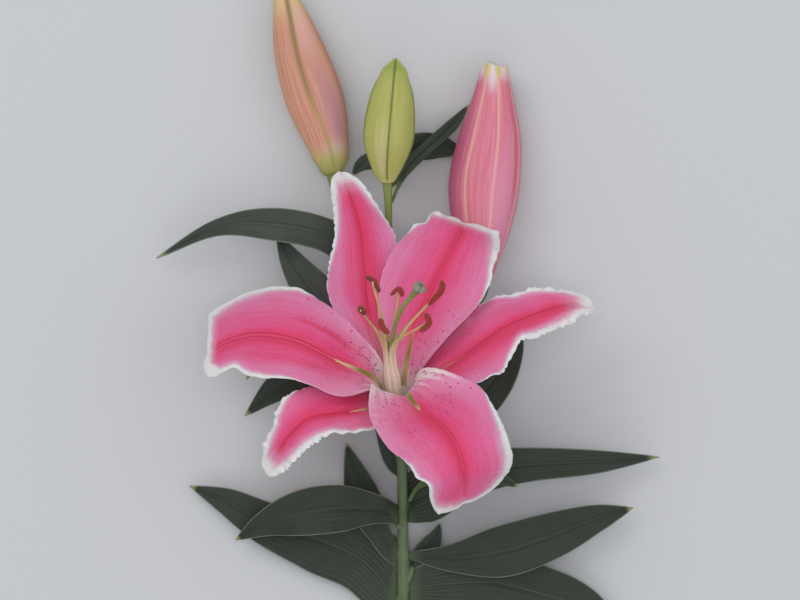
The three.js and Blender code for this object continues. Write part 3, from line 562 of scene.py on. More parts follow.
# For each tepal: the angle of its foot and its distance from the axis, rows of x, y, z and curl down its
# middle, and half-widths to the left and right of that line. Then how it is dressed, with left and right
# values in pairs: the white band from foot to tip and at the very tip in millimetres, the frill of the
# margins, how far the crimson reaches, how much the rib stands out, and the nectar furrow's beginning, end,
# half-width and strength. dots are their number, where they begin and end and where most of them lie. bend is
# how far the rib leaves the middle line, and pale how much further the pale foot reaches at the margins.
# pulls move a place of the margin: its middle, its reach, the move, and where on the tepal it may begin. ends
# whiten what lies beyond a line seen from above. streaks are further dark lines: their place across, their
# beginning and end, width and strength. channel is a hollow at the foot: its depth, width and place.
TEPALS = {
    "tepal_outer_upper": dict(
        foot=(118, 7.8),
        rows=[
            [-7, -30, 65.5, 0.6], [-11.5, -6, 67.5, 0.4], [-16, 17, 59, 0.1], [-20.5, 38, 47, 0],
            [-26, 54, 36, -0.1], [-31, 65.5, 28, -0.1],
        ],
        left=[2.6, 7, 13, 19, 23.3, 20.4, 15.2, 12, 9.6, 7.4, 6],
        right=[2.6, 6.5, 9.5, 12, 14.2, 16.2, 16, 13.4, 10.4, 7.6, 5.4],
        white=([0, 0, 0.7, 1.8, 3.0, 4.5], [0, 0, 0.0, 1.0, 2.4, 4.0]), tip=13.0, frill=(0.7, 0.6),
        crimson=(3.4, 5.6, 0.95), rib=0.12, bend=[0, -3, -4.2, -2, 0, 0, 0], dots=(12, 0.12, 0.32, 0.6),
        nectar=(0.1, 0.28, 0.8, 0.8), streaks=[(0.45, 0.2, 0.7, 2.5, 0.45), (-0.4, 0.2, 0.9, 3.5, 0.5)],
    ),
    "tepal_inner_upper": dict(
        foot=(57, 6.2),
        rows=[
            [3.5, -30, 69.5, 0.6], [9.5, -7.5, 74.5, 0.35], [20.5, 16, 66, 0.15], [29, 32.3, 57.3, -0.17],
            [32.5, 39.6, 41.5, -0.13], [35.2, 35.5, 32, 0.13],
        ],
        left=[2.6, 6.7, 13, 20.3, 25, 26, 24.2, 23.3, 17.8, 17.2, 6.3],
        right=[2.6, 6.7, 12.3, 19, 25.5, 27, 23.6, 21.4, 19.1, 17.5, 7.3],
        white=([0, 0, 0.0, 1.2, 3.6, 5.0], [0, 0, 0.6, 3.2, 6.0, 6.5]), tip=18.0,
        ends=[(0.33, 0.944, 45.8, 2.2)], frill=(0.3, 0.4), crimson=(3.4, 4.6, 0.85), rib=0.45,
        pale=-0.12,
        pulls=[((18.0, 42.5, 50), 3.4, (1.4, 4.6, 1.0), 0.3), ((11, 42, 52), 4.0, (1.2, -2.6, 0), 0.3)],
        dots=(46, 0.12, 0.46, 0.25), nectar=(0.1, 0.27, 1.6, 1.0),
        streaks=[(0.33, 0.35, 0.8, 1.6, 0.5)],
    ),
    "tepal_inner_left": dict(
        foot=(178, 6.2),
        rows=[
            [-13.5, -37.5, 75.5, 0.8], [-29, -28, 86, 0.5], [-53, -19.5, 89, 0], [-77.5, -19.5, 78.6, -0.15],
            [-96.3, -29, 71.5, -0.15], [-93.4, -33.5, 62.6, -0.1],
        ],
        left=[2.6, 7, 12.5, 19, 25, 24.7, 23.1, 17.6, 14.1, 4.3, 6.5],
        right=[2.6, 7, 11.5, 16.5, 24, 30, 32.9, 34.9, 31.4, 26.3, 9.9],
        white=([0, 0, 0.6, 2.6, 3.6, 4.0], [0, 0, 0.3, 3.2, 8.5, 9.5]), tip=10.0,
        ends=[(-1, 0, 93.0, 3.4), (-0.5, -0.87, 73.6, 2.2)], frill=(0.25, 0.15),
        crimson=(7.5, 3.6, 1.0), rib=0.8, bend=[0, -1.5, -3.3, 0.8, 2.8, 3.6, 4.0],
        pulls=[
            ((-91, -34.5, 64), 4.0, (-0.8, -1.8, 0), 0.3), ((-97.5, -8, 57), 11.0, (5.0, -2.0, -9.0), 0.88),
            ((-28, -42, 90), 14.0, (0, -6.0, 8.0), 0.1),
        ],
        dots=(110, 0.12, 0.5, 0.0), nectar=(0.1, 0.36, 2.3, 1.0),
        streaks=[
            (0.42, 0.1, 0.65, 2.2, 0.9), (0.22, 0.15, 0.5, 1.2, 0.4), (-0.35, 0.45, 0.85, 1.5, 0.35),
            (-0.45, 0.1, 0.85, 5.0, 0.6),
        ],
    ),
    "tepal_outer_right": dict(
        foot=(-2, 7.8),
        rows=[
            [13, -39, 72.5, 0.2], [31, -27.5, 81.5, 0.02], [52, -16.5, 81, 0.05], [73.5, -6, 74, 0],
            [87, -1.4, 67, -0.1], [97, -2.6, 61, -0.1],
        ],
        left=[2.6, 6.4, 11, 16, 20, 21.8, 19, 15, 10.4, 6.8, 5.6],
        right=[2.6, 6.2, 11, 18, 19.6, 11.5, 10.6, 10.6, 9.6, 8, 6.8],
        white=([0, 0, 0.6, 2.0, 3.6, 6.0], [0, 0, 1.4, 3.2, 5.0, 7.0]), tip=17.0, frill=(1.2, 1.2),
        crimson=(3.6, 8.0, 0.9), rib=0.12, pale=-0.3, bend=[0, 0, 0, -3.6, -1.5, 0, 0],
        pulls=[
            ((61, -20, 76), 5.0, (-1.5, 2.4, 0), 0.3), ((50, -34, 76), 6.0, (1.0, -2.0, 0), 0.3),
            ((48, -3, 78), 7.0, (0, 1.6, 0), 0.3),
        ],
        dots=(16, 0.2, 0.42, 0.2), nectar=(0.2, 0.345, 0.6, 0.5),
        streaks=[(-0.5, 0.0, 0.5, 7.0, 0.55), (0.35, 0.1, 0.75, 5.0, 0.6)],
    ),
    "tepal_outer_left": dict(
        foot=(238, 7.8),
        rows=[
            [-10.5, -49, 80, 0.6], [-25.5, -50, 95, 0.4], [-44, -56.5, 103, 0.1], [-54.5, -66.5, 101, 0],
            [-61, -76, 94, -0.1], [-67, -85, 86, -0.1],
        ],
        left=[2.6, 8.4, 13.7, 18, 17.5, 15.1, 13, 12.2, 10.1, 7.8, 6],
        right=[2.6, 5.9, 8.9, 11.4, 14.2, 15.9, 14.2, 11.7, 10.3, 8, 6.2],
        white=([0, 0.3, 2.2, 3.6, 4.4, 6.0], [0, 0, 0.0, 2.6, 4.2, 6.0]), tip=13.0, frill=(1.4, 0.7),
        crimson=(4.2, 4.2, 0.85), rib=0.12, bend=[0, -5.5, -6.5, -1.0, 0.3, 0, 0],
        pulls=[
            ((-14.7, -58.5, 92), 7.0, (0.5, -6.2, 0), 0.1),
            ((-25, -61.5, 95), 5.5, (0, -5.0, 0), 0.2),
            ((-30.7, -66, 98), 2.2, (0, 4.0, 0), 0.2),
            ((-36.3, -66, 100), 2.6, (0, -1.8, 0), 0.2),
        ],
        dots=(12, 0.18, 0.36, 0), nectar=(0.12, 0.36, 1.7, 0.75),
        streaks=[(-0.4, 0.1, 0.6, 5.0, 0.6), (-0.8, 0.05, 0.5, 5.0, 0.7)],
    ),
    "tepal_inner_lower": dict(
        foot=(298, 6.2),
        rows=[
            [3.2, -45.4, 82, 1.2], [12.5, -53.5, 100.5, 0.5], [23.5, -63, 113, 0], [29.5, -73.5, 118, -0.15],
            [31, -87.5, 114, -0.15], [19, -104.5, 98, -0.2],
        ],
        left=[2.6, 9, 16.5, 24, 27.3, 26.3, 25.7, 25.4, 27, 27.5, 12],
        right=[2.6, 12, 22, 29.5, 31.2, 29, 27.6, 25.7, 23.6, 16, 6],
        white=([0, 0, 0.5, 3.2, 5.4, 5.6], [0, 0, 0.3, 1.2, 2.2, 3.0]), tip=5.0, frill=(0.3, 0.15),
        crimson=(3.6, 7.0, 0.95), rib=0.45, bend=[0, 0, 0.8, 0.8, 0.5, -1.2, -16.0], pale=0.04,
        dots=(130, 0.12, 0.44, 0), nectar=(0.13, 0.31, 1.7, 0.9),
        streaks=[(-0.42, 0.2, 0.55, 2.4, 0.5), (0.2, 0.55, 0.95, 2.0, 0.3), (0.6, 0.15, 0.85, 7.0, 0.42)],
        wrinkles=0.22, channel=(5.0, 3.6, 1.2),
    ),
}
TEPAL_THICKNESS = (0.95, 0.42)  # at the middle and at the margin
TEPAL_GRID = (251, 65)  # points from foot to tip and from margin to margin
SCALLOP, CREASE = 4.8, 3.4  # millimetres from one scallop of the margins, and from one crease, to the next
DOT_SIDES = 8


def wander(chance, u, cycles):
    """A smooth line that goes up and down at random, about cycles times."""
    return along(chance.uniform(-1, 1, (int(cycles * 2) + 2, 1)), u)


def tepal_frame(line, u):
    """The middle line of a tepal, the direction across it, and the one in which a curl lifts the margins."""
    way = heading(line, np.clip(u, 0.002, 0.998))
    middle = along(line, u)[:, :3]
    out = middle - RECEPTACLE
    out = unit(out - (out @ BLOOM_AXIS)[:, None] * BLOOM_AXIS)
    facing = BLOOM_AXIS * (way * out).sum(1)[:, None] - out * (way @ BLOOM_AXIS)[:, None]
    side = unit(np.cross(way, facing))
    return middle, side, np.cross(side, way)


def tepal_surface(shape, u, v, chance):
    """Points of a tepal's middle surface on a grid of u and v, and the marks that its finish reads."""
    line = [[*bloom_point(*shape["foot"], 0.6), 0.4]] + shape["rows"]
    middle, side, lift = tepal_frame(line, u)
    length = np.linalg.norm(np.diff(middle, axis=0), axis=1).sum()
    column = lambda rows: along(np.reshape(rows, (-1, 1)), u)
    curl = along(line, u)[:, 3:]
    curl = np.where(np.abs(curl) < 1e-3, 1e-3, curl)
    closing = np.sqrt(np.clip(1 - (np.clip(u - 0.9, 0, 1) / 0.1) ** 2, 0, 1))[:, None]
    far, left = np.abs(v)[None], (v < 0)[None]
    on, v = u[:, None], v[None]
    halves, bands, frills, wave = [], [], [], 0
    for hand in (0, 1):
        fine, coarse = wander(chance, u, 25), wander(chance, u, 15)
        scallops = np.abs(np.sin(np.pi * (on * length / SCALLOP + 0.7 * coarse))) - 0.64
        crest = 0.35 * fine + 0.35 * coarse + 1.05 * scallops
        frill = shape["frill"][hand]
        frills.append(crest * frill * smooth(0.28, 0.5, on) * smooth(1.0, 0.82, on))
        halves.append(np.maximum(column(shape[("left", "right")[hand]]) * closing, 0.9))
        bands.append(column(shape["white"][hand]))
        near = np.where(left == (hand == 0), far, 0)
        sway = np.sin(2 * np.pi * (3.5 * on + (0.25 if hand else -0.25)))
        ruffle, flutter = wander(chance, u, 17), wander(chance, u, 27)
        ripple = 1.3 * sway * near**3 + (0.3 + 0.8 * frill) * ruffle * near**4 + 0.75 * frill * flutter * near**9
        wave = wave + ripple * smooth(0.22, 0.5, on)
    wave = wave * (smooth(1.0, 0.82, on) * 0.8 + 0.2)
    half, band, frill = (np.where(left, *pair) for pair in (halves, bands, frills))
    s = (half + frill * far**6) * v
    radius = half / curl
    across, up = radius * np.sin(s / radius), radius * (1 - np.cos(s / radius))
    # The rib doesn't keep to the middle line, but bends to one side or the other.
    q = s - column(shape.get("bend", [0] * 7))
    groove = -1.2 * hill(q, 2.8) + (0.2 + 0.3 * shape["rib"]) * hill(q, 0.65)
    depth, wide_channel, aside = shape.get("channel", (0, 1, 0))
    groove = groove - depth * smooth(0.02, 0.12, on) * smooth(0.36, 0.2, on) * hill(q - aside, wide_channel)
    veins = 0.05 * np.cos(2 * np.pi * v * 9) * smooth(0.1, 0.3, on) * smooth(1.0, 0.8, on)
    folds = sum(
        size * wander(chance, u, cycles) * np.cos(np.pi * (v * bends + chance.random()))
        for size, cycles, bends in ((0.6, 2.5, 1.2), (0.35, 4, 2.3), (0.2, 7, 3.5))
    )
    # The nectar furrow narrows to a point, between two low lips.
    begin, end, wide, strength = shape["nectar"]
    taper = wide * np.clip((end - on) / (end - begin), 0, 1) ** 0.6
    inside = (on > begin * 0.5) * (taper > 0.02)
    furrow = inside * (0.45 * hill(np.abs(q) - taper, 0.45) - 0.35 * hill(q, 0.5))
    nectar = inside * strength * np.clip(0.5 + (taper - np.abs(q)) / 0.5, 0, 1)
    # Fine creases run across the foot of the tepal, at its margins.
    crease = np.sin(2 * np.pi * (on * length / CREASE + 0.12 * wander(chance, u, 9)) + 2.0 * far)
    creases = shape.get("wrinkles", 0.12) * crease * smooth(0.12, 0.2, on) * smooth(0.42, 0.3, on)
    creases = creases * np.where(left, 0.5 * smooth(0.6, 0.95, far), smooth(0.55, 0.95, far))
    height = up + groove * smooth(0.05, 0.3, on) + veins + folds * smooth(0.1, 0.35, on) + wave + furrow + creases
    grid = middle[:, None] + side[:, None] * across[..., None] + lift[:, None] * height[..., None]
    for centre, spread, shift, start in shape.get("pulls", []):
        near = np.exp(-((((grid - centre) * (1, 1, 0.25)) ** 2).sum(-1) / spread**2))
        near = near * smooth(start - 0.05, start + 0.05, on) * (far**2 if start < 0.3 else 1)
        grid = grid + near[..., None] * np.array(shift)
    from_edge = np.where(band > 0.05, (half - np.abs(s)) / np.maximum(band, 0.05), 9)
    # White as a share: 1 at the margin, and 0 where the band ends.
    white = 1 - np.minimum(from_edge, (1 - on) * length / shape["tip"]) - 1.3 * smooth(1.7, 0.4, band)
    for east, north, start, width in shape.get("ends", []):
        white = np.maximum(white, (grid[..., 0] * east + grid[..., 1] * north - start) / width)
    left_red, right_red, red = shape["crimson"]
    along_red = smooth(0.14, 0.3, on) * (1 - 0.8 * smooth(0.62, 1.0, on))
    crimson = np.exp(-((np.abs(q) / np.where(left, left_red, right_red)) ** 1.6)) * along_red * red
    for place, first, last, width, strength in shape["streaks"]:
        there = smooth(first, first + 0.12, on) * smooth(last, last - 0.25, on)
        crimson = np.maximum(crimson, strength * hill((v - place) * half, width) * there * 0.8)
    marks = lambda *parts: np.stack(np.broadcast_arrays(*parts), -1)
    place, zone = marks(on, v, q), marks(np.clip(white, -3.0, 1.5), crimson, nectar)
    return grid, place, zone, marks(0 * s, creases, shape["rib"]), on - (0.1 + shape.get("pale", 0.0)) * far


def tepal_skin():
    """Lily petal: soft and matt with a faint sheen, hot pink that turns crimson beside the rib and lilac-pink
    outwards, with a white margin whose inner edge is feathered, fine lengthwise veins, a green and cream
    nectar furrow, and crimson dots."""
    add, worn = skin(
        "petal_pink_white_margin",
        IOR=1.38, Roughness=0.58, Specular_IOR_Level=0.28, Subsurface_Weight=0.45,
        Subsurface_Scale=0.004, Sheen_Weight=0.06, Sheen_Roughness=0.5,
    )
    place, u, v, s = read(add, "petal_place")
    _, white, crimson, nectar = read(add, "petal_zone")
    _, dot, crease, rib = read(add, "petal_tone")
    # Veins run from foot to tip, and are noise drawn out along the tepal, in two widths. At the white margin
    # the pink ends in short strokes that run outwards, the comb.
    drawn_out = ((3, 7, 0), 3.0, 0.5), ((12, 45, 0), 4.0, 0.6), ((95, 8, 0), 4.0, 0.5)
    broad, vein, comb = (
        add(
            "TexNoise",
            {"Vector": add("Mapping", {0: place, 3: times}), "Scale": 1.0, "Detail": detail, "Roughness": rough},
        )
        for times, detail, rough in drawn_out
    )
    # Cells of the skin are a twentieth of a millimetre wide. They are drawn ten times as coarse, the velvet.
    body = add("TexCoord", output="Object")
    cloud = add("TexNoise", {"Vector": body, "Scale": 55.0, "Detail": 3.0})
    velvet = add("TexNoise", {"Vector": body, "Scale": 1600.0, "Detail": 2.0})
    beside = add("Math", [s], operation="ABSOLUTE")
    clouded = add("Math", [cloud, 0.35, add("Math", [v], operation="ABSOLUTE")], operation="MULTIPLY_ADD")
    outward = add("Math", [broad, 0.55, clouded], operation="MULTIPLY_ADD")
    uneven = add("Math", [vein, 1.4, 0.3], operation="MULTIPLY_ADD")
    red = add("Math", [crimson, uneven], operation="MULTIPLY")
    # Two dark lines run beside the rib. Where the rib is low, they meet in one.
    rib_side = add("Math", [beside, add("Math", [rib, 1.4], operation="MULTIPLY")], operation="SUBTRACT")
    out_of_rib = add("Math", [rib_side], operation="ABSOLUTE")
    crown = add("Math", [rib, 0.6], operation="MULTIPLY")
    shown = (u, 0.24, 0.38), (u, 0.99, 0.85)
    foot = add("Attribute", output="Fac", attribute_name="petal_foot")
    pale = add("Math", [broad, 0.24, foot], operation="MULTIPLY_ADD")
    ragged = add("Math", [comb, 0.8, white], operation="MULTIPLY_ADD")
    juice = coated(add, 0xBDB382, (0x87853A, 1.0, (u, 0.13, 0.2)), (0xD8C79A, 1.0, (u, 0.23, 0.32)))
    colour = coated(
        add,
        0xE24A7C,
        (0xE05F90, 1.0, (outward, 0.45, 0.87)),
        (0xDE84AC, 1.0, (outward, 0.8, 1.4)),
        (0xC43A72, 0.35, (vein, 0.48, 0.75)),
        (0xE69ABC, 0.25, (vein, 0.45, 0.2)),
        (0xDA3E66, 1.0, (red, 0.05, 0.95)),
        (0xB4233F, 0.6, (out_of_rib, 0.6, 0.1), *shown),
        (0xE0607F, crown, (beside, 0.8, 0.25), *shown),
        # The foot, in the throat, is nearly white, and more so towards its margins. This is partly its own pale
        # colour and partly painted light, which keeps the shade deep in the throat from darkening it.
        (0xE59CBC, 0.75, (pale, 0.46, 0.2)),
        (0xF2E2E2, 0.95, (pale, 0.29, 0.18)),
        # Painted highlight: the raised crests of the fine creases at the foot are painted a paler pink, where the
        # light catches them.
        (0xEBC3D4, 0.25, (crease, 0.0, 0.2)),
        # The white margin, with its feathered inner edge.
        (0xD6AFC6, 0.75, (ragged, -0.6, 0.75)),
        (0xE6DEDE, 1.0, (ragged, 0.25, 1.0)),
        # The nectar furrow is green at the foot and cream towards its point.
        (juice, 1.0, (nectar, 0.1, 0.8)),
        (0xC42F62, dot),
    )
    height = add("Math", [vein, 2.4, velvet], operation="MULTIPLY_ADD")
    relief = add("Bump", {"Strength": 0.35, "Distance": 0.00015, "Height": height})
    rough = add("MapRange", [vein, 0.3, 0.7, 0.5, 0.66], interpolation_type="SMOOTHSTEP")
    return worn(Base_Color=colour, Normal=relief, Roughness=rough)


def dots_on(shape, grid, normal, place, chance):
    """Fleshy dots in the throat: small domes of three rings, sunk into the upper face."""
    points, faces = [], []
    rows, columns = place.shape[:2]
    wanted, first_u, last_u, lean = shape["dots"]
    while len(points) < 3 * DOT_SIDES * wanted:
        share = chance.random()
        u = first_u + (last_u - first_u) * share
        v = np.clip(chance.normal(lean, 0.42), -0.86, 0.86)
        j, i = round(u * (rows - 1)), round((v + 1) / 2 * (columns - 1))
        if abs(place[j, i, 2]) < 2.4 or chance.random() < share**2 * 0.8:
            continue
        up = normal[j, i]
        east = unit(grid[j, min(i + 1, columns - 1)] - grid[j, max(i - 1, 0)])
        north = np.cross(up, east)
        size = chance.uniform(0.3, 0.6)
        first = len(points)
        for width, high in ((1.0, 0.0), (0.8, 0.2), (0.4, 0.3)):
            for turn in 2 * np.pi * np.arange(DOT_SIDES) / DOT_SIDES:
                round_it = east * math.cos(turn) * width * size + north * math.sin(turn) * width * size
                points.append(grid[j, i] + round_it + up * (0.4 + size * high * 0.8))
        low, middle, top = (first + DOT_SIDES * ring + np.arange(DOT_SIDES) for ring in range(3))
        for here, over in ((low, middle), (middle, top)):
            faces += np.stack([here, np.roll(here, -1), np.roll(over, -1), over], -1).tolist()
        faces += [top.tolist(), low[::-1].tolist()]
    return points, faces


petal = tepal_skin()
u, v = np.linspace(0, 1, TEPAL_GRID[0]), np.linspace(-1, 1, TEPAL_GRID[1])
for name, shape in TEPALS.items():
    chance = np.random.default_rng(sum(map(ord, name)))
    grid, place, zone, tone, foot = tepal_surface(shape, u, v, chance)
    points, faces, normal = blade(grid, v, TEPAL_THICKNESS)
    domes, dome_faces = dots_on(shape, grid, normal, place, chance)
    faces += [[len(points) + k for k in face] for face in dome_faces]
    # The marks of both faces and of the dots, which are bare of white, crimson and furrow.
    blank = np.zeros((len(domes), 3))
    marks = {"petal_foot": np.concatenate([foot.ravel()] * 2 + [blank[:, 0] + 0.3])}
    of_faces_and_dots = ("place", place, [0.3, 0.5, 9]), ("zone", zone, [-3, 0, 0]), ("tone", tone, [0.65, 0, 0])
    for mark, of_faces, of_dots in of_faces_and_dots:
        marks[f"petal_{mark}"] = np.concatenate([of_faces.reshape(-1, 3)] * 2 + [blank + of_dots])
    tepal = piece(f"lily_{name}", np.concatenate([points, domes]), faces, marks)
    put(tepal, name, "tepal_pink", petal)

# ---------------------------------------------------------------------------------------------------------
# The pistil in the middle of the bloom: a smooth olive-green style on the ovary, bent aside near its end,
# and on it the stigma, a moist grey-green knob of three lobes.

PISTIL_ROWS = [
    [-1.5, -52.2, 58.4, 2.1],
    [-3.7, -43, 70.5, 2.2],
    [-5.1, -31, 86, 1.5],
    [-3.7, -17.5, 102, 1.4],
    [0.8, -4.5, 117, 1.4],
    [8.2, 4.7, 127, 1.7],
]
STIGMA_REACH = 3.4  # the knob's radius


def style_skin():
    """Lily style: smooth, fleshy olive green, paler at its foot, with a soft shine."""
    add, worn = skin("style_olive_green", IOR=1.42, Roughness=0.42, Subsurface_Weight=0.15, Subsurface_Scale=0.002)
    t = add("Attribute", output="Fac", attribute_name="tube_share")
    streaks = add("Mapping", {0: add("TexCoord", output="Object"), 3: (1500, 120, 300)})
    streak = add("TexNoise", {"Vector": streaks, "Scale": 1.0, "Detail": 3.0})
    green = coated(add, 0x7C7D48, (0x98985F, 1.0, (streak, 0.3, 0.7)))
    colour = coated(add, 0xC6B98E, (green, 1.0, (t, 0.4, 0.68)), (0x5E7136, 0.6, (t, 0.9, 1.0)))
    relief = add("Bump", {"Strength": 0.2, "Distance": 0.0002, "Height": streak})
    return worn(Base_Color=colour, Normal=relief)


def style_reach(t, angle):
    radius = along(PISTIL_ROWS, t.ravel())[:, 3].reshape(t.shape)
    return radius * (0.8 + 0.05 * np.cos(3 * angle)) * (1 + 0.2 * smooth(0.85, 1, t))


rings, t, _ = tube(PISTIL_ROWS, 120, 36, style_reach)
pistil = piece("lily_pistil", rings.reshape(-1, 3), tube_faces(*rings.shape[:2]), {"tube_share": t.ravel()})
put(pistil, "pistil", "style_green", style_skin())


def stigma_skin():
    """Ripe stigma: grey-green, beaded all over and wet with a clear sticky juice, with painted shade darkening its
    grooves and middle hollow.
    """
    add, worn = skin(
        "stigma_moist_grey_green", IOR=1.4, Roughness=0.35, Subsurface_Weight=0.15, Subsurface_Scale=0.001
    )
    beads = add("TexVoronoi", {"Vector": add("TexCoord", output="Object"), "Scale": 1500.0})
    deep = add("Attribute", output="Fac", attribute_name="groove")
    # The dark coat over the grooves and the middle hollow is painted shade.
    colour = coated(add, 0xA6A58F, (0x80836C, 1.0, (beads, 0.1, 0.6)), (0x49503F, 0.9, (deep, 0.1, 0.8)))
    relief = add("Bump", {"Strength": 0.6, "Distance": 0.0003, "Height": beads}, invert=True)
    return worn(Base_Color=colour, Normal=relief)


def stigma_knob():
    """A rounded knob whose top is parted into three lobes by three grooves that meet in the middle."""
    way = heading(PISTIL_ROWS, np.array([0.998]))[0]
    middle = along(PISTIL_ROWS, 1.0)[0, :3] + way * 2.3
    east = unit(np.cross(way, [0, 0, 1.0]))
    north = np.cross(way, east)
    polar, turn = np.meshgrid(np.linspace(0.01, np.pi - 0.01, 41), turns(72), indexing="ij")
    lobe = np.abs(np.sin(1.5 * (turn - 0.9)))
    groove = 0.6 * (1 - lobe) ** 3 * smooth(2.4, 0.9, polar)
    hollow = 0.3 * hill(polar, 0.4)
    lumps = 0.03 * np.sin(5 * turn + 2 * polar) * np.sin(4 * polar)
    reach = STIGMA_REACH * (0.92 + 0.12 * lobe - 0.32 * groove - hollow + lumps - 0.3 * smooth(1.7, 2.7, polar))
    high = reach * np.cos(polar) * np.where(np.cos(polar) > 0, 0.7, 0.68)
    wide = reach * np.sin(polar)
    spots = middle + way * high[..., None] + east * (wide * np.cos(turn))[..., None]
    # The second value, the depth of the grooves and the hollow, marks where the finish paints shade.
    return spots + north * (wide * np.sin(turn))[..., None], groove + 2 * hollow


spots, groove = stigma_knob()
stigma = piece("lily_stigma", spots.reshape(-1, 3), tube_faces(*spots.shape[:2]), {"groove": groove.ravel()})
put(stigma, "stigma", "stigma_grey", stigma_skin())

# ---------------------------------------------------------------------------------------------------------
# The six stamens. Each has a filament, a fleshy thread that is broad and cream at its foot and thin and
# yellow-green at its tip, and an anther, a curved two-lobed sac covered with red-brown pollen, held by its
# back on the filament's tip. At their feet the six filaments stand close together, as one column.

FILAMENT_GRID, ANTHER_GRID = (91, 20), (61, 40)  # points along and round
COLUMN_LEAN = np.array([-3.7, 0, 0])  # how far the column's top stands to the left of the bloom's axis
STAMENS = [
    # ring angle in degrees, the anther's radius, how far its back is turned to the top, and three points
    # of its own line
    (118, 1.3, 1.0, [[-16.6, 11.4, 106], [-12.7, 9, 109.5], [-9.8, 3.6, 110]]),
    (58, 1.4, 0.0, [[-4.6, 2.4, 110], [-0.6, 5.4, 113], [1.4, 1.6, 114]]),
    (-2, 1.45, 0.0, [[20.6, 9.6, 109], [20, 4.3, 112], [13.6, -2.6, 111]]),
    (-62, 1.6, 0.0, [[9.6, -15.4, 119], [14, -11.3, 123], [12.3, -6.3, 122]]),
    (238, 1.5, 0.0, [[-9.7, -8.9, 125], [-8.6, -13, 128], [-5.2, -16.4, 126]]),
    (178, 1.75, 0.9, [[-20, -3.6, 117], [-18.2, -5.2, 120], [-16.4, -6.9, 120]]),
]


def filament_skin():
    """Lily filament: fleshy and half clear, cream in the throat and yellow-green towards the anther."""
    add, worn = skin("filament_cream_green", IOR=1.4, Roughness=0.45, Subsurface_Weight=0.3, Subsurface_Scale=0.003)
    t = add("Attribute", output="Fac", attribute_name="tube_share")
    cloud = add("TexNoise", {"Vector": add("TexCoord", output="Object"), "Scale": 300.0, "Detail": 2.0})
    green = coated(add, 0xB2A663, (0xC6B67A, 1.0, (cloud, 0.3, 0.7)))
    cream = (0xF1E2CE, 1.0, (cloud, 0.3, 0.7))
    colour = coated(add, 0xF4EAD4, cream, (green, 1.0, (t, 0.42, 0.78)), (0xD9CFA9, 0.7, (t, 0.97, 1.0)))
    relief = add("Bump", {"Strength": 0.15, "Distance": 0.0002, "Height": cloud})
    return worn(Base_Color=colour, Normal=relief)


def anther_skin():
    """Lily anther: pollen grains a tenth of a millimetre wide make it velvety and red-brown. They are drawn
    three times as coarse, or they wouldn't show. The back, where the filament holds it, is a bare dark band."""
    add, worn = skin("anther_pollen_red_brown", IOR=1.45, Roughness=0.95, Specular_IOR_Level=0.15, Sheen_Weight=0.2)
    place = add("TexCoord", output="Object")
    back = add("Attribute", output="Fac", attribute_name="anther_back")
    grains = add("TexVoronoi", {"Vector": place, "Scale": 3300.0})
    cloud = add("TexNoise", {"Vector": place, "Scale": 500.0, "Detail": 3.0})
    colour = coated(
        add,
        0xC05242,
        (0x8E342D, 1.0, (grains, 0.15, 0.55)),
        (0x84302B, 0.5, (cloud, 0.4, 0.7)),
        (0x4A3A3C, 0.9, (back, 0.3, 0.7)),
    )
    relief = add("Bump", {"Strength": 0.9, "Distance": 0.0002, "Height": grains}, invert=True)
    return worn(Base_Color=colour, Normal=relief)


def swept(middle, over, up, turn, wide, deep):
    """Rings of points round a line, each with its own width and depth."""
    across = over[:, None] * (np.cos(turn) * wide)[..., None]
    return (middle[:, None] + (across + up[:, None] * (np.sin(turn) * deep)[..., None])).reshape(-1, 3)


def stamen(number, angle, radius, turned, anther):
    """One filament, and the anther that its tip holds by the back."""
    held = np.array(anther[1], float)
    axis = heading(anther, np.array([0.5]))[0]
    low = bloom_point(angle, 2.75, 20) + COLUMN_LEAN * 0.6
    high = bloom_point(angle, 3.5, 52) + COLUMN_LEAN
    back = high - held + np.array([0, 0, 60.0]) * turned
    back = unit(back - axis * (back @ axis))
    line = [bloom_point(angle, 3.4, 0.35), low, high, held + back * (radius - 0.35 + 0.4 * turned)]
    steps, sides = FILAMENT_GRID
    t = np.linspace(0, 1, steps)
    middle, way = along(line, t), heading(line, t)
    out = middle - (RECEPTACLE + np.outer((middle - RECEPTACLE) @ BLOOM_AXIS, BLOOM_AXIS))
    out = unit(out - (out * way).sum(1)[:, None] * way)
    thinner = (0.4 * smooth(0.3, 0.66, t) + 0.7 * smooth(0.66, 0.85, t))[:, None]
    end = np.sqrt(np.clip((1.02 - t) / 0.06, 0.08, 1))[:, None]
    wide, deep = (1.7 - thinner) * end, (1.25 - 0.7 * thinner) * end
    points = swept(middle, np.cross(way, out), out, turns(sides), wide, deep)
    made = piece(f"lily_filament_{number}", points, tube_faces(steps, sides), {"tube_share": np.repeat(t, sides)})
    put(made, f"filament_{number}", "stamen_green", thread)

    steps, sides = ANTHER_GRID
    t = np.linspace(0, 1, steps)
    middle, way = along(anther, t), heading(anther, t)
    up = unit(back - (way @ back)[:, None] * way)
    turn = turns(sides)
    chance = np.random.default_rng(number)
    body = np.sqrt(np.clip(1 - np.abs(2 * t - 1) ** 4, 0.02, 1))[:, None] * (1.06 - 0.16 * t)[:, None]
    lump = 1 + 0.07 * wander(chance, t, 5) + 0.03 * chance.uniform(-1, 1, ANTHER_GRID)
    # The sac is parted by a groove down its face, and is bare and sunk along its back.
    spine = hill(turn - np.pi / 2, 0.55)
    reach = radius * body * lump * (1.0 - 0.24 * hill(turn - 1.5 * np.pi, 0.3) - 0.2 * spine)
    reach = reach * (1 + 0.1 * np.cos(2 * turn))
    points = swept(middle, np.cross(way, up), up, turn, reach, reach * 0.9)
    bare = np.tile(spine, steps) * (0.55 + 0.45 * turned)
    made = piece(f"lily_anther_{number}", points, tube_faces(steps, sides), {"anther_back": bare})
    put(made, f"anther_{number}", "anther_brown", pollen)


thread, pollen = filament_skin(), anther_skin()
for number, row in enumerate(STAMENS, 1):
    stamen(number, *row)

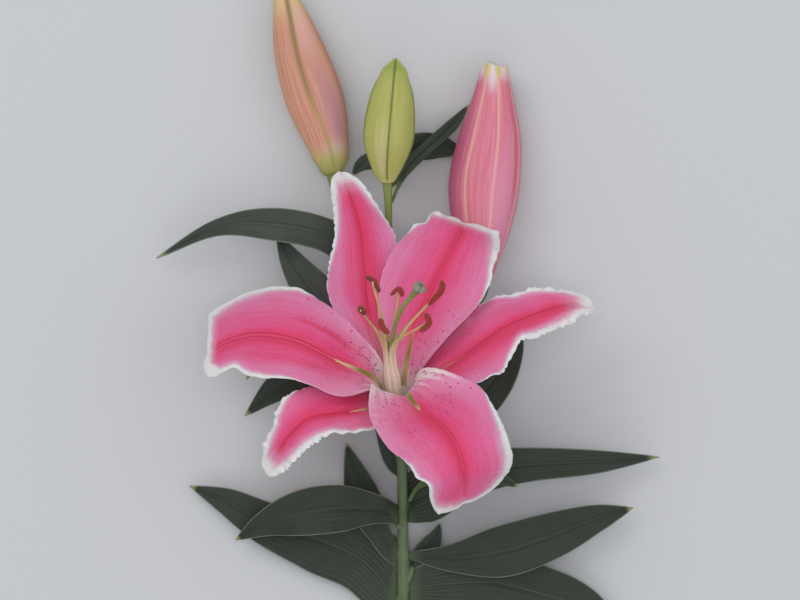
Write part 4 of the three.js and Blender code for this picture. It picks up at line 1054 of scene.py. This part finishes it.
# ---------------------------------------------------------------------------------------------------------
# The three buds. Each is three outer tepals closed edge to edge round the rest, with a rib down the back of
# each and a furrow where two meet. The one on the right is the ripest: the ribs of the inner tepals show too,
# and it has begun to part at its tip, where the white frilled margins of the inner tepals stand up.

# Angles go round a bud in degrees, with 0 on the right, 180 on the left and 270 on top. Zones are soft patches
# of a second colour: the colour, the middle along the bud and round it, the reach each way, and the strength.
BUDS = {
    "bud_left": dict(
        rows=[
            [-34.6, 63.9, 15.1, 4.8], [-36.9, 80, 15.2, 10.6], [-43.0, 102, 14.5, 14.6],
            [-51.0, 126, 14.8, 13.0], [-56.8, 147, 15.6, 8.4], [-62, 165, 16.6, 2.6],
        ],
        # On the left bud the brown-olive seam colour and the seams that widen towards the tip make a band of
        # painted shade along each furrow.
        slot="bud_peach", seams=(30, 150, 270), seam_shade_spread=0.95, twist=(27, 3, -10, -7, 3, 22),
        blunt=0.14, ribs=(90, 208, 330), rib_width=2.2, rib_strength=0.4, lobes=0.045,
        body=(0xCC9880, 0xC08674), lines=(0xC9A070, 0x8E7A4E, 0xB0AC50), foot=(0xA8A664, 0.2, 0.07),
        tip=(0xD2BE8C, 0.7, 0.92),
        zones=[
            (0xBE8894, 0.32, 312, 0.24, 40, 0.8),
            # Painted highlight: a paler pink patch on the upper right of the bud towards its tip, where the light
            # falls on it.
            (0xD8A8A0, 0.74, 300, 0.22, 34, 0.7),
            (0xC86E54, 0.62, 350, 0.34, 26, 0.8),
            (0xC8B4A4, 0.15, 290, 0.08, 50, 0.6),
        ],
    ),
    "bud_middle": dict(
        rows=[
            [-6.4, 59.4, 32.2, 3.6], [-6.6, 67, 33.5, 7.9], [-5.9, 81, 36, 12.7], [-4.6, 96, 38.5, 12.2],
            [-3.4, 109, 40.5, 9.1], [-2.1, 122, 42, 1.3],
        ],
        slot="bud_green", seams=(30, 150, 270), seam_shade_spread=0.0, ribs=(90, 210, 330), rib_width=1.4,
        shoulder=0.32, lobes=0.03, body=(0xA5A85A, 0xB0B068), lines=(0xA9AC62, 0x5B7438, 0x5B7438),
        foot=(0xB4B070, 0.2, 0.06), tip=(0x93A44E, 0.8, 0.97),
        zones=[
            (0xBFB886, 0.3, 252, 0.3, 20, 0.7), (0x869648, 0.6, 345, 0.5, 26, 0.85),
            (0x8A9A4A, 0.65, 193, 0.5, 24, 0.85),
        ],
    ),
    "bud_right": dict(
        rows=[
            [42.4, 9.6, 15.6, 4.4], [42, 34, 16.8, 13.6], [43, 58, 16, 17.8], [46, 82, 16.4, 15.7],
            [47.6, 103, 18, 10.4], [48.5, 119.8, 19.4, 6.4],
        ],
        slot="bud_pink", seams=(), seam_shade_spread=0.0, ribs=(30, 90, 150, 236, 284, 338), rib_width=0.95,
        lobes=0.0, body=(0xDE889A, 0xD2768A), lines=(0xE2AAA2, 0x9E4B67, 0xC9BF70),
        foot=(0xC7808E, 0.12, 0.02), tip=(0xE2CFD4, 0.88, 0.985),
        zones=[
            (0xBC5E80, 0.45, 203, 0.5, 30, 0.85),
            (0xDA8CA8, 0.3, 305, 0.36, 34, 0.8),
            (0xD05A6E, 0.6, 328, 0.42, 9, 0.7),
            (0xDCC4CE, 0.92, 264, 0.1, 22, 0.75),
        ],
        mouth=True,
    ),
}
BUD_GRID = (150, 160)  # steps along and points round
# The rings that lead into the mouth of the ripe bud: how wide each is, and how far it rises.
MOUTH = [
    (0.9, 0.15), (0.84, -1.5), (0.8, -2.0), (0.74, -0.9), (0.72, 0.4), (0.66, 0.5), (0.6, -1.2), (0.45, -3.0),
    (0.2, -4.0),
]


def bud_skin(name, shape):
    """Skin of a lily bud: the smooth, thick backs of the outer tepals, with fine lengthwise stripes, a coloured
    seam where two meet with a soft band of painted shade along its furrow, a rib down each back, a green foot and a
    pale tip."""
    waxy = dict(IOR=1.4, Roughness=0.5, Specular_IOR_Level=0.3, Subsurface_Weight=0.12, Subsurface_Scale=0.002)
    add, worn = skin(name, **waxy)
    place, t, _, inside = read(add, "bud_place")
    _, rib, seam, tips = read(add, "bud_lines")
    stretched = add("Mapping", {0: place, 3: (3, 60, 0)})
    grain = add("TexNoise", {"Vector": stretched, "Scale": 1.0, "Detail": 5.0, "Roughness": 0.6})
    body, stripe = shape["body"]
    rib_colour, seam_and_shade_colour, end_colour = shape["lines"]
    patches = []
    for n, (patch, *_) in enumerate(shape["zones"]):
        zone = add("Attribute", output="Fac", attribute_name=f"bud_zone_{n}")
        there = add("Math", [grain, 0.5, zone], operation="MULTIPLY_ADD")
        patches.append((patch, 1.0, (there, 0.35, 1.15), (zone, 0.02, 0.3)))
    wavy = add("Math", [grain, 0.16, add("Math", [t, 0.08], operation="SUBTRACT")], operation="MULTIPLY_ADD")
    foot, *foot_ends = shape["foot"]
    tip, *tip_ends = shape["tip"]
    colour = coated(
        add,
        body,
        (stripe, 1.0, (grain, 0.36, 0.62)),
        *patches,
        (body, 0.3, (grain, 0.5, 0.34)),
        (foot, 1.0, (wavy, *foot_ends)),
        (tip, 0.9, (wavy, *tip_ends)),
        # A soft band of the seam colour along each seam is painted shade of the furrow where two tepals meet; the
        # thin line within it is partly the seam's own colour.
        (seam_and_shade_colour, 0.45, (seam, 0.0, 0.7)),
        (coated(add, end_colour, (seam_and_shade_colour, 1.0, (t, 0.3, 0.5))), 0.8, (seam, 0.4, 0.95)),
        (rib_colour, shape.get("rib_strength", 0.85), (rib, 0.25, 0.85)),
        (end_colour, 0.85, (tips, 0.2, 0.8)),
        (0xDCD2D4, inside),
    )
    relief = add("Bump", {"Strength": 0.3, "Distance": 0.0003, "Height": grain})
    rough = add("MapRange", [grain, 0.3, 0.7, 0.45, 0.58], interpolation_type="SMOOTHSTEP")
    return worn(Base_Color=colour, Normal=relief, Roughness=rough)


def apart(angle, place):
    """The signed turn in radians from a place given in degrees to each angle."""
    return (angle - np.radians(place) + np.pi) % (2 * np.pi) - np.pi


def nearest(angle, radius, places, width):
    """1 on a line along the bud at each of these places, falling off over a width in millimetres."""
    lines = [hill(apart(angle, place) * radius, width) for place in places]
    return np.max(lines, axis=0) if lines else np.zeros_like(angle)


def bud_form(shape, steps, sides):
    """The rings of a bud, and the marks that its finish reads."""
    ripe = shape.get("mouth", False)

    def numbers(rows, t):
        """The last number of these rows at each t."""
        return along(rows, t.ravel())[:, -1].reshape(t.shape)

    def twisted(t):
        """How far the seams and ribs have turned round the bud, in radians."""
        return np.radians(numbers(np.reshape(shape.get("twist", [0] * 6), (-1, 1)), t))

    def reach(t, angle):
        closed = smooth(0.0, 0.08, t)
        radius = numbers(shape["rows"], t) * (0.62 + 0.38 * np.sqrt(1 - (1 - np.minimum(t / 0.03, 1)) ** 2))
        radius = radius * (1 + shape.get("blunt", 0) * hill(t - 0.08, 0.07))
        angle = angle - twisted(t)
        lobe = np.cos(3 * apart(angle, shape["ribs"][0]))
        furrow = nearest(angle, radius, shape["seams"], 1.1) + nearest(angle, radius, shape["seams"], 4.0)
        rib = nearest(angle, radius, shape["ribs"], shape["rib_width"])
        bulge = 1 - nearest(angle, radius, shape["ribs"], 5.0) if ripe else 0
        radius = radius * (1 + shape.get("shoulder", 0) * hill(t - 0.93, 0.05))
        return radius * (1 + closed * shape["lobes"] * lobe) + closed * (0.22 * rib - 0.5 * furrow + 0.5 * bulge)

    rings, t, angle = tube(shape["rows"], steps, sides, reach)
    radius = numbers(shape["rows"], t)
    inside = np.zeros_like(t)
    if ripe:
        # The outer tepals end in three tips; within them stand the white frilled margins of the inner ones.
        way = heading(shape["rows"], np.array([0.999]))[0]
        tips = 1.6 * nearest(angle, radius, (236,), 2.2) + 1.0 * nearest(angle, radius, (338,), 2.0) - 0.6
        tips = tips + 0.35 * np.sin(7 * angle) * np.sin(3 * angle + 1)
        rings = rings + way * (tips * smooth(0.9, 1.0, t))[..., None]
        last, turn = rings[-1], angle[-1]
        core = last.mean(0)
        frill = 0.5 * np.sin(9 * turn) + 0.35 * np.sin(17 * turn + 1)
        up = 1.5 * hill(apart(turn, 255), 0.5) + 0.6 * hill(apart(turn, 310), 0.3) + 0.35 * frill
        inner = [
            core
            + (last - core) * (share + 0.05 * frill * (share < 0.8))[:, None]
            + way * (rise + up * (rise > -0.95))[:, None]
            for share, rise in MOUTH
        ]
        rings = np.concatenate([rings, inner])
        more = (len(inner), sides)
        added = (t, 1), (angle, turn), (radius, 6.0), (inside, 1)
        t, angle, radius, inside = (np.vstack([held, np.broadcast_to(new, more)]) for held, new in added)
    rings[..., 2] = np.maximum(rings[..., 2], 0.0)
    own = angle - twisted(t)
    ribs = nearest(own, radius, shape["ribs"], shape["rib_width"]) * smooth(0.02, 0.1, t) * (1 - inside)
    # The seams widen towards the tip by the spread given for each bud, which makes room for the painted shade of
    # their furrow.
    seams = nearest(own, radius, shape["seams"], 0.7 + shape["seam_shade_spread"] * smooth(0.3, 0.65, t))
    ends = np.zeros_like(t)
    if ripe:
        wide = nearest(angle, radius, (236, 284, 338), 1.9) * smooth(0.9, 0.97, t) * (1 - inside)
        ends = np.maximum(ribs * smooth(0.86, 0.96, t), wide)
    vector = lambda *parts: np.stack([part.ravel() for part in parts], -1)
    marks = {
        "bud_place": vector(t, apart(angle, 270) / (2 * np.pi), inside),
        "bud_lines": vector(ribs, seams * smooth(0.01, 0.06, t), ends),
    }
    for n, (_, middle, place, reach_on, reach_round, strength) in enumerate(shape["zones"]):
        round_it = np.exp(-(np.abs(apart(angle, place) / math.radians(reach_round)) ** 2.5))
        marks[f"bud_zone_{n}"] = (strength * hill(t - middle, reach_on) * round_it).ravel()
    return rings, marks


for name, shape in BUDS.items():
    rings, marks = bud_form(shape, *BUD_GRID)
    bud = piece(f"lily_{name}", rings.reshape(-1, 3), tube_faces(*rings.shape[:2]), marks)
    put(bud, name, shape["slot"], bud_skin(name + "_skin", shape))

# ---------------------------------------------------------------------------------------------------------
# The floor is a plain pale sheet of paper that the flower lies on. Three large soft lamps hang round it and a
# fourth high above it, and the camera looks straight down from two metres.

bpy.ops.mesh.primitive_plane_add(size=6)
floor = bpy.context.object
floor.name = "floor"
add, worn = skin("floor_matt_paper", Roughness=0.9, Specular_IOR_Level=0.1)
fibres = add("TexNoise", {"Vector": add("TexCoord", output="Object"), "Scale": 900.0, "Detail": 3.0})
floor.data.materials.append(worn(Base_Color=coated(add, 0xC6C8CB, (0xCACCCF, 1.0, (fibres, 0.3, 0.7)))))
floor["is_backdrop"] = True

LAMPS = {  # place and size in metres, power in watts, and colour
    "softbox_above": ((0.0, 0.1, 2.4), 1.0, 9.5, (1.0, 0.99, 0.98)),
    "softbox_upper_left": ((-0.75, 0.85, 1.5), 1.2, 8.6, (1.0, 0.985, 0.96)),
    "softbox_right": ((1.1, -0.2, 1.5), 1.4, 4.4, (0.96, 0.98, 1.0)),
    "softbox_front": ((-0.1, -1.3, 1.3), 1.4, 3.2, (1.0, 0.99, 0.98)),
}
for name, (place, size, power, colour) in LAMPS.items():
    light = bpy.data.lights.new(name, "AREA")
    light.shape, light.size, light.energy, light.color = "DISK", size, power, colour
    held = bpy.data.objects.new(name, light)
    bpy.context.scene.collection.objects.link(held)
    held.location = place
    toward = -np.array(place)
    yaw, lean = math.atan2(toward[0], -toward[1]), math.atan2(math.hypot(toward[0], toward[1]), -toward[2])
    held.rotation_euler = (lean, 0, yaw + math.pi)
sky = bpy.data.worlds.new("studio")
bpy.context.scene.world = sky
sky.use_nodes = True
sky.node_tree.nodes["Background"].inputs[0].default_value = (0.95, 0.97, 1.0, 1)
sky.node_tree.nodes["Background"].inputs[1].default_value = 0.52
bpy.context.scene.view_settings.view_transform = "Standard"

lens = bpy.data.cameras.new("camera")
lens.sensor_width, lens.lens = 36, 174.6
camera = bpy.data.objects.new("camera", lens)
bpy.context.scene.collection.objects.link(camera)
camera.location = (-DRAWING_MIDDLE[0] / 1000, -DRAWING_MIDDLE[1] / 1000, 2.0)
bpy.context.scene.camera = camera

[[list(map(float, corner)) for corner in box] for box in (solid_box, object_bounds())]
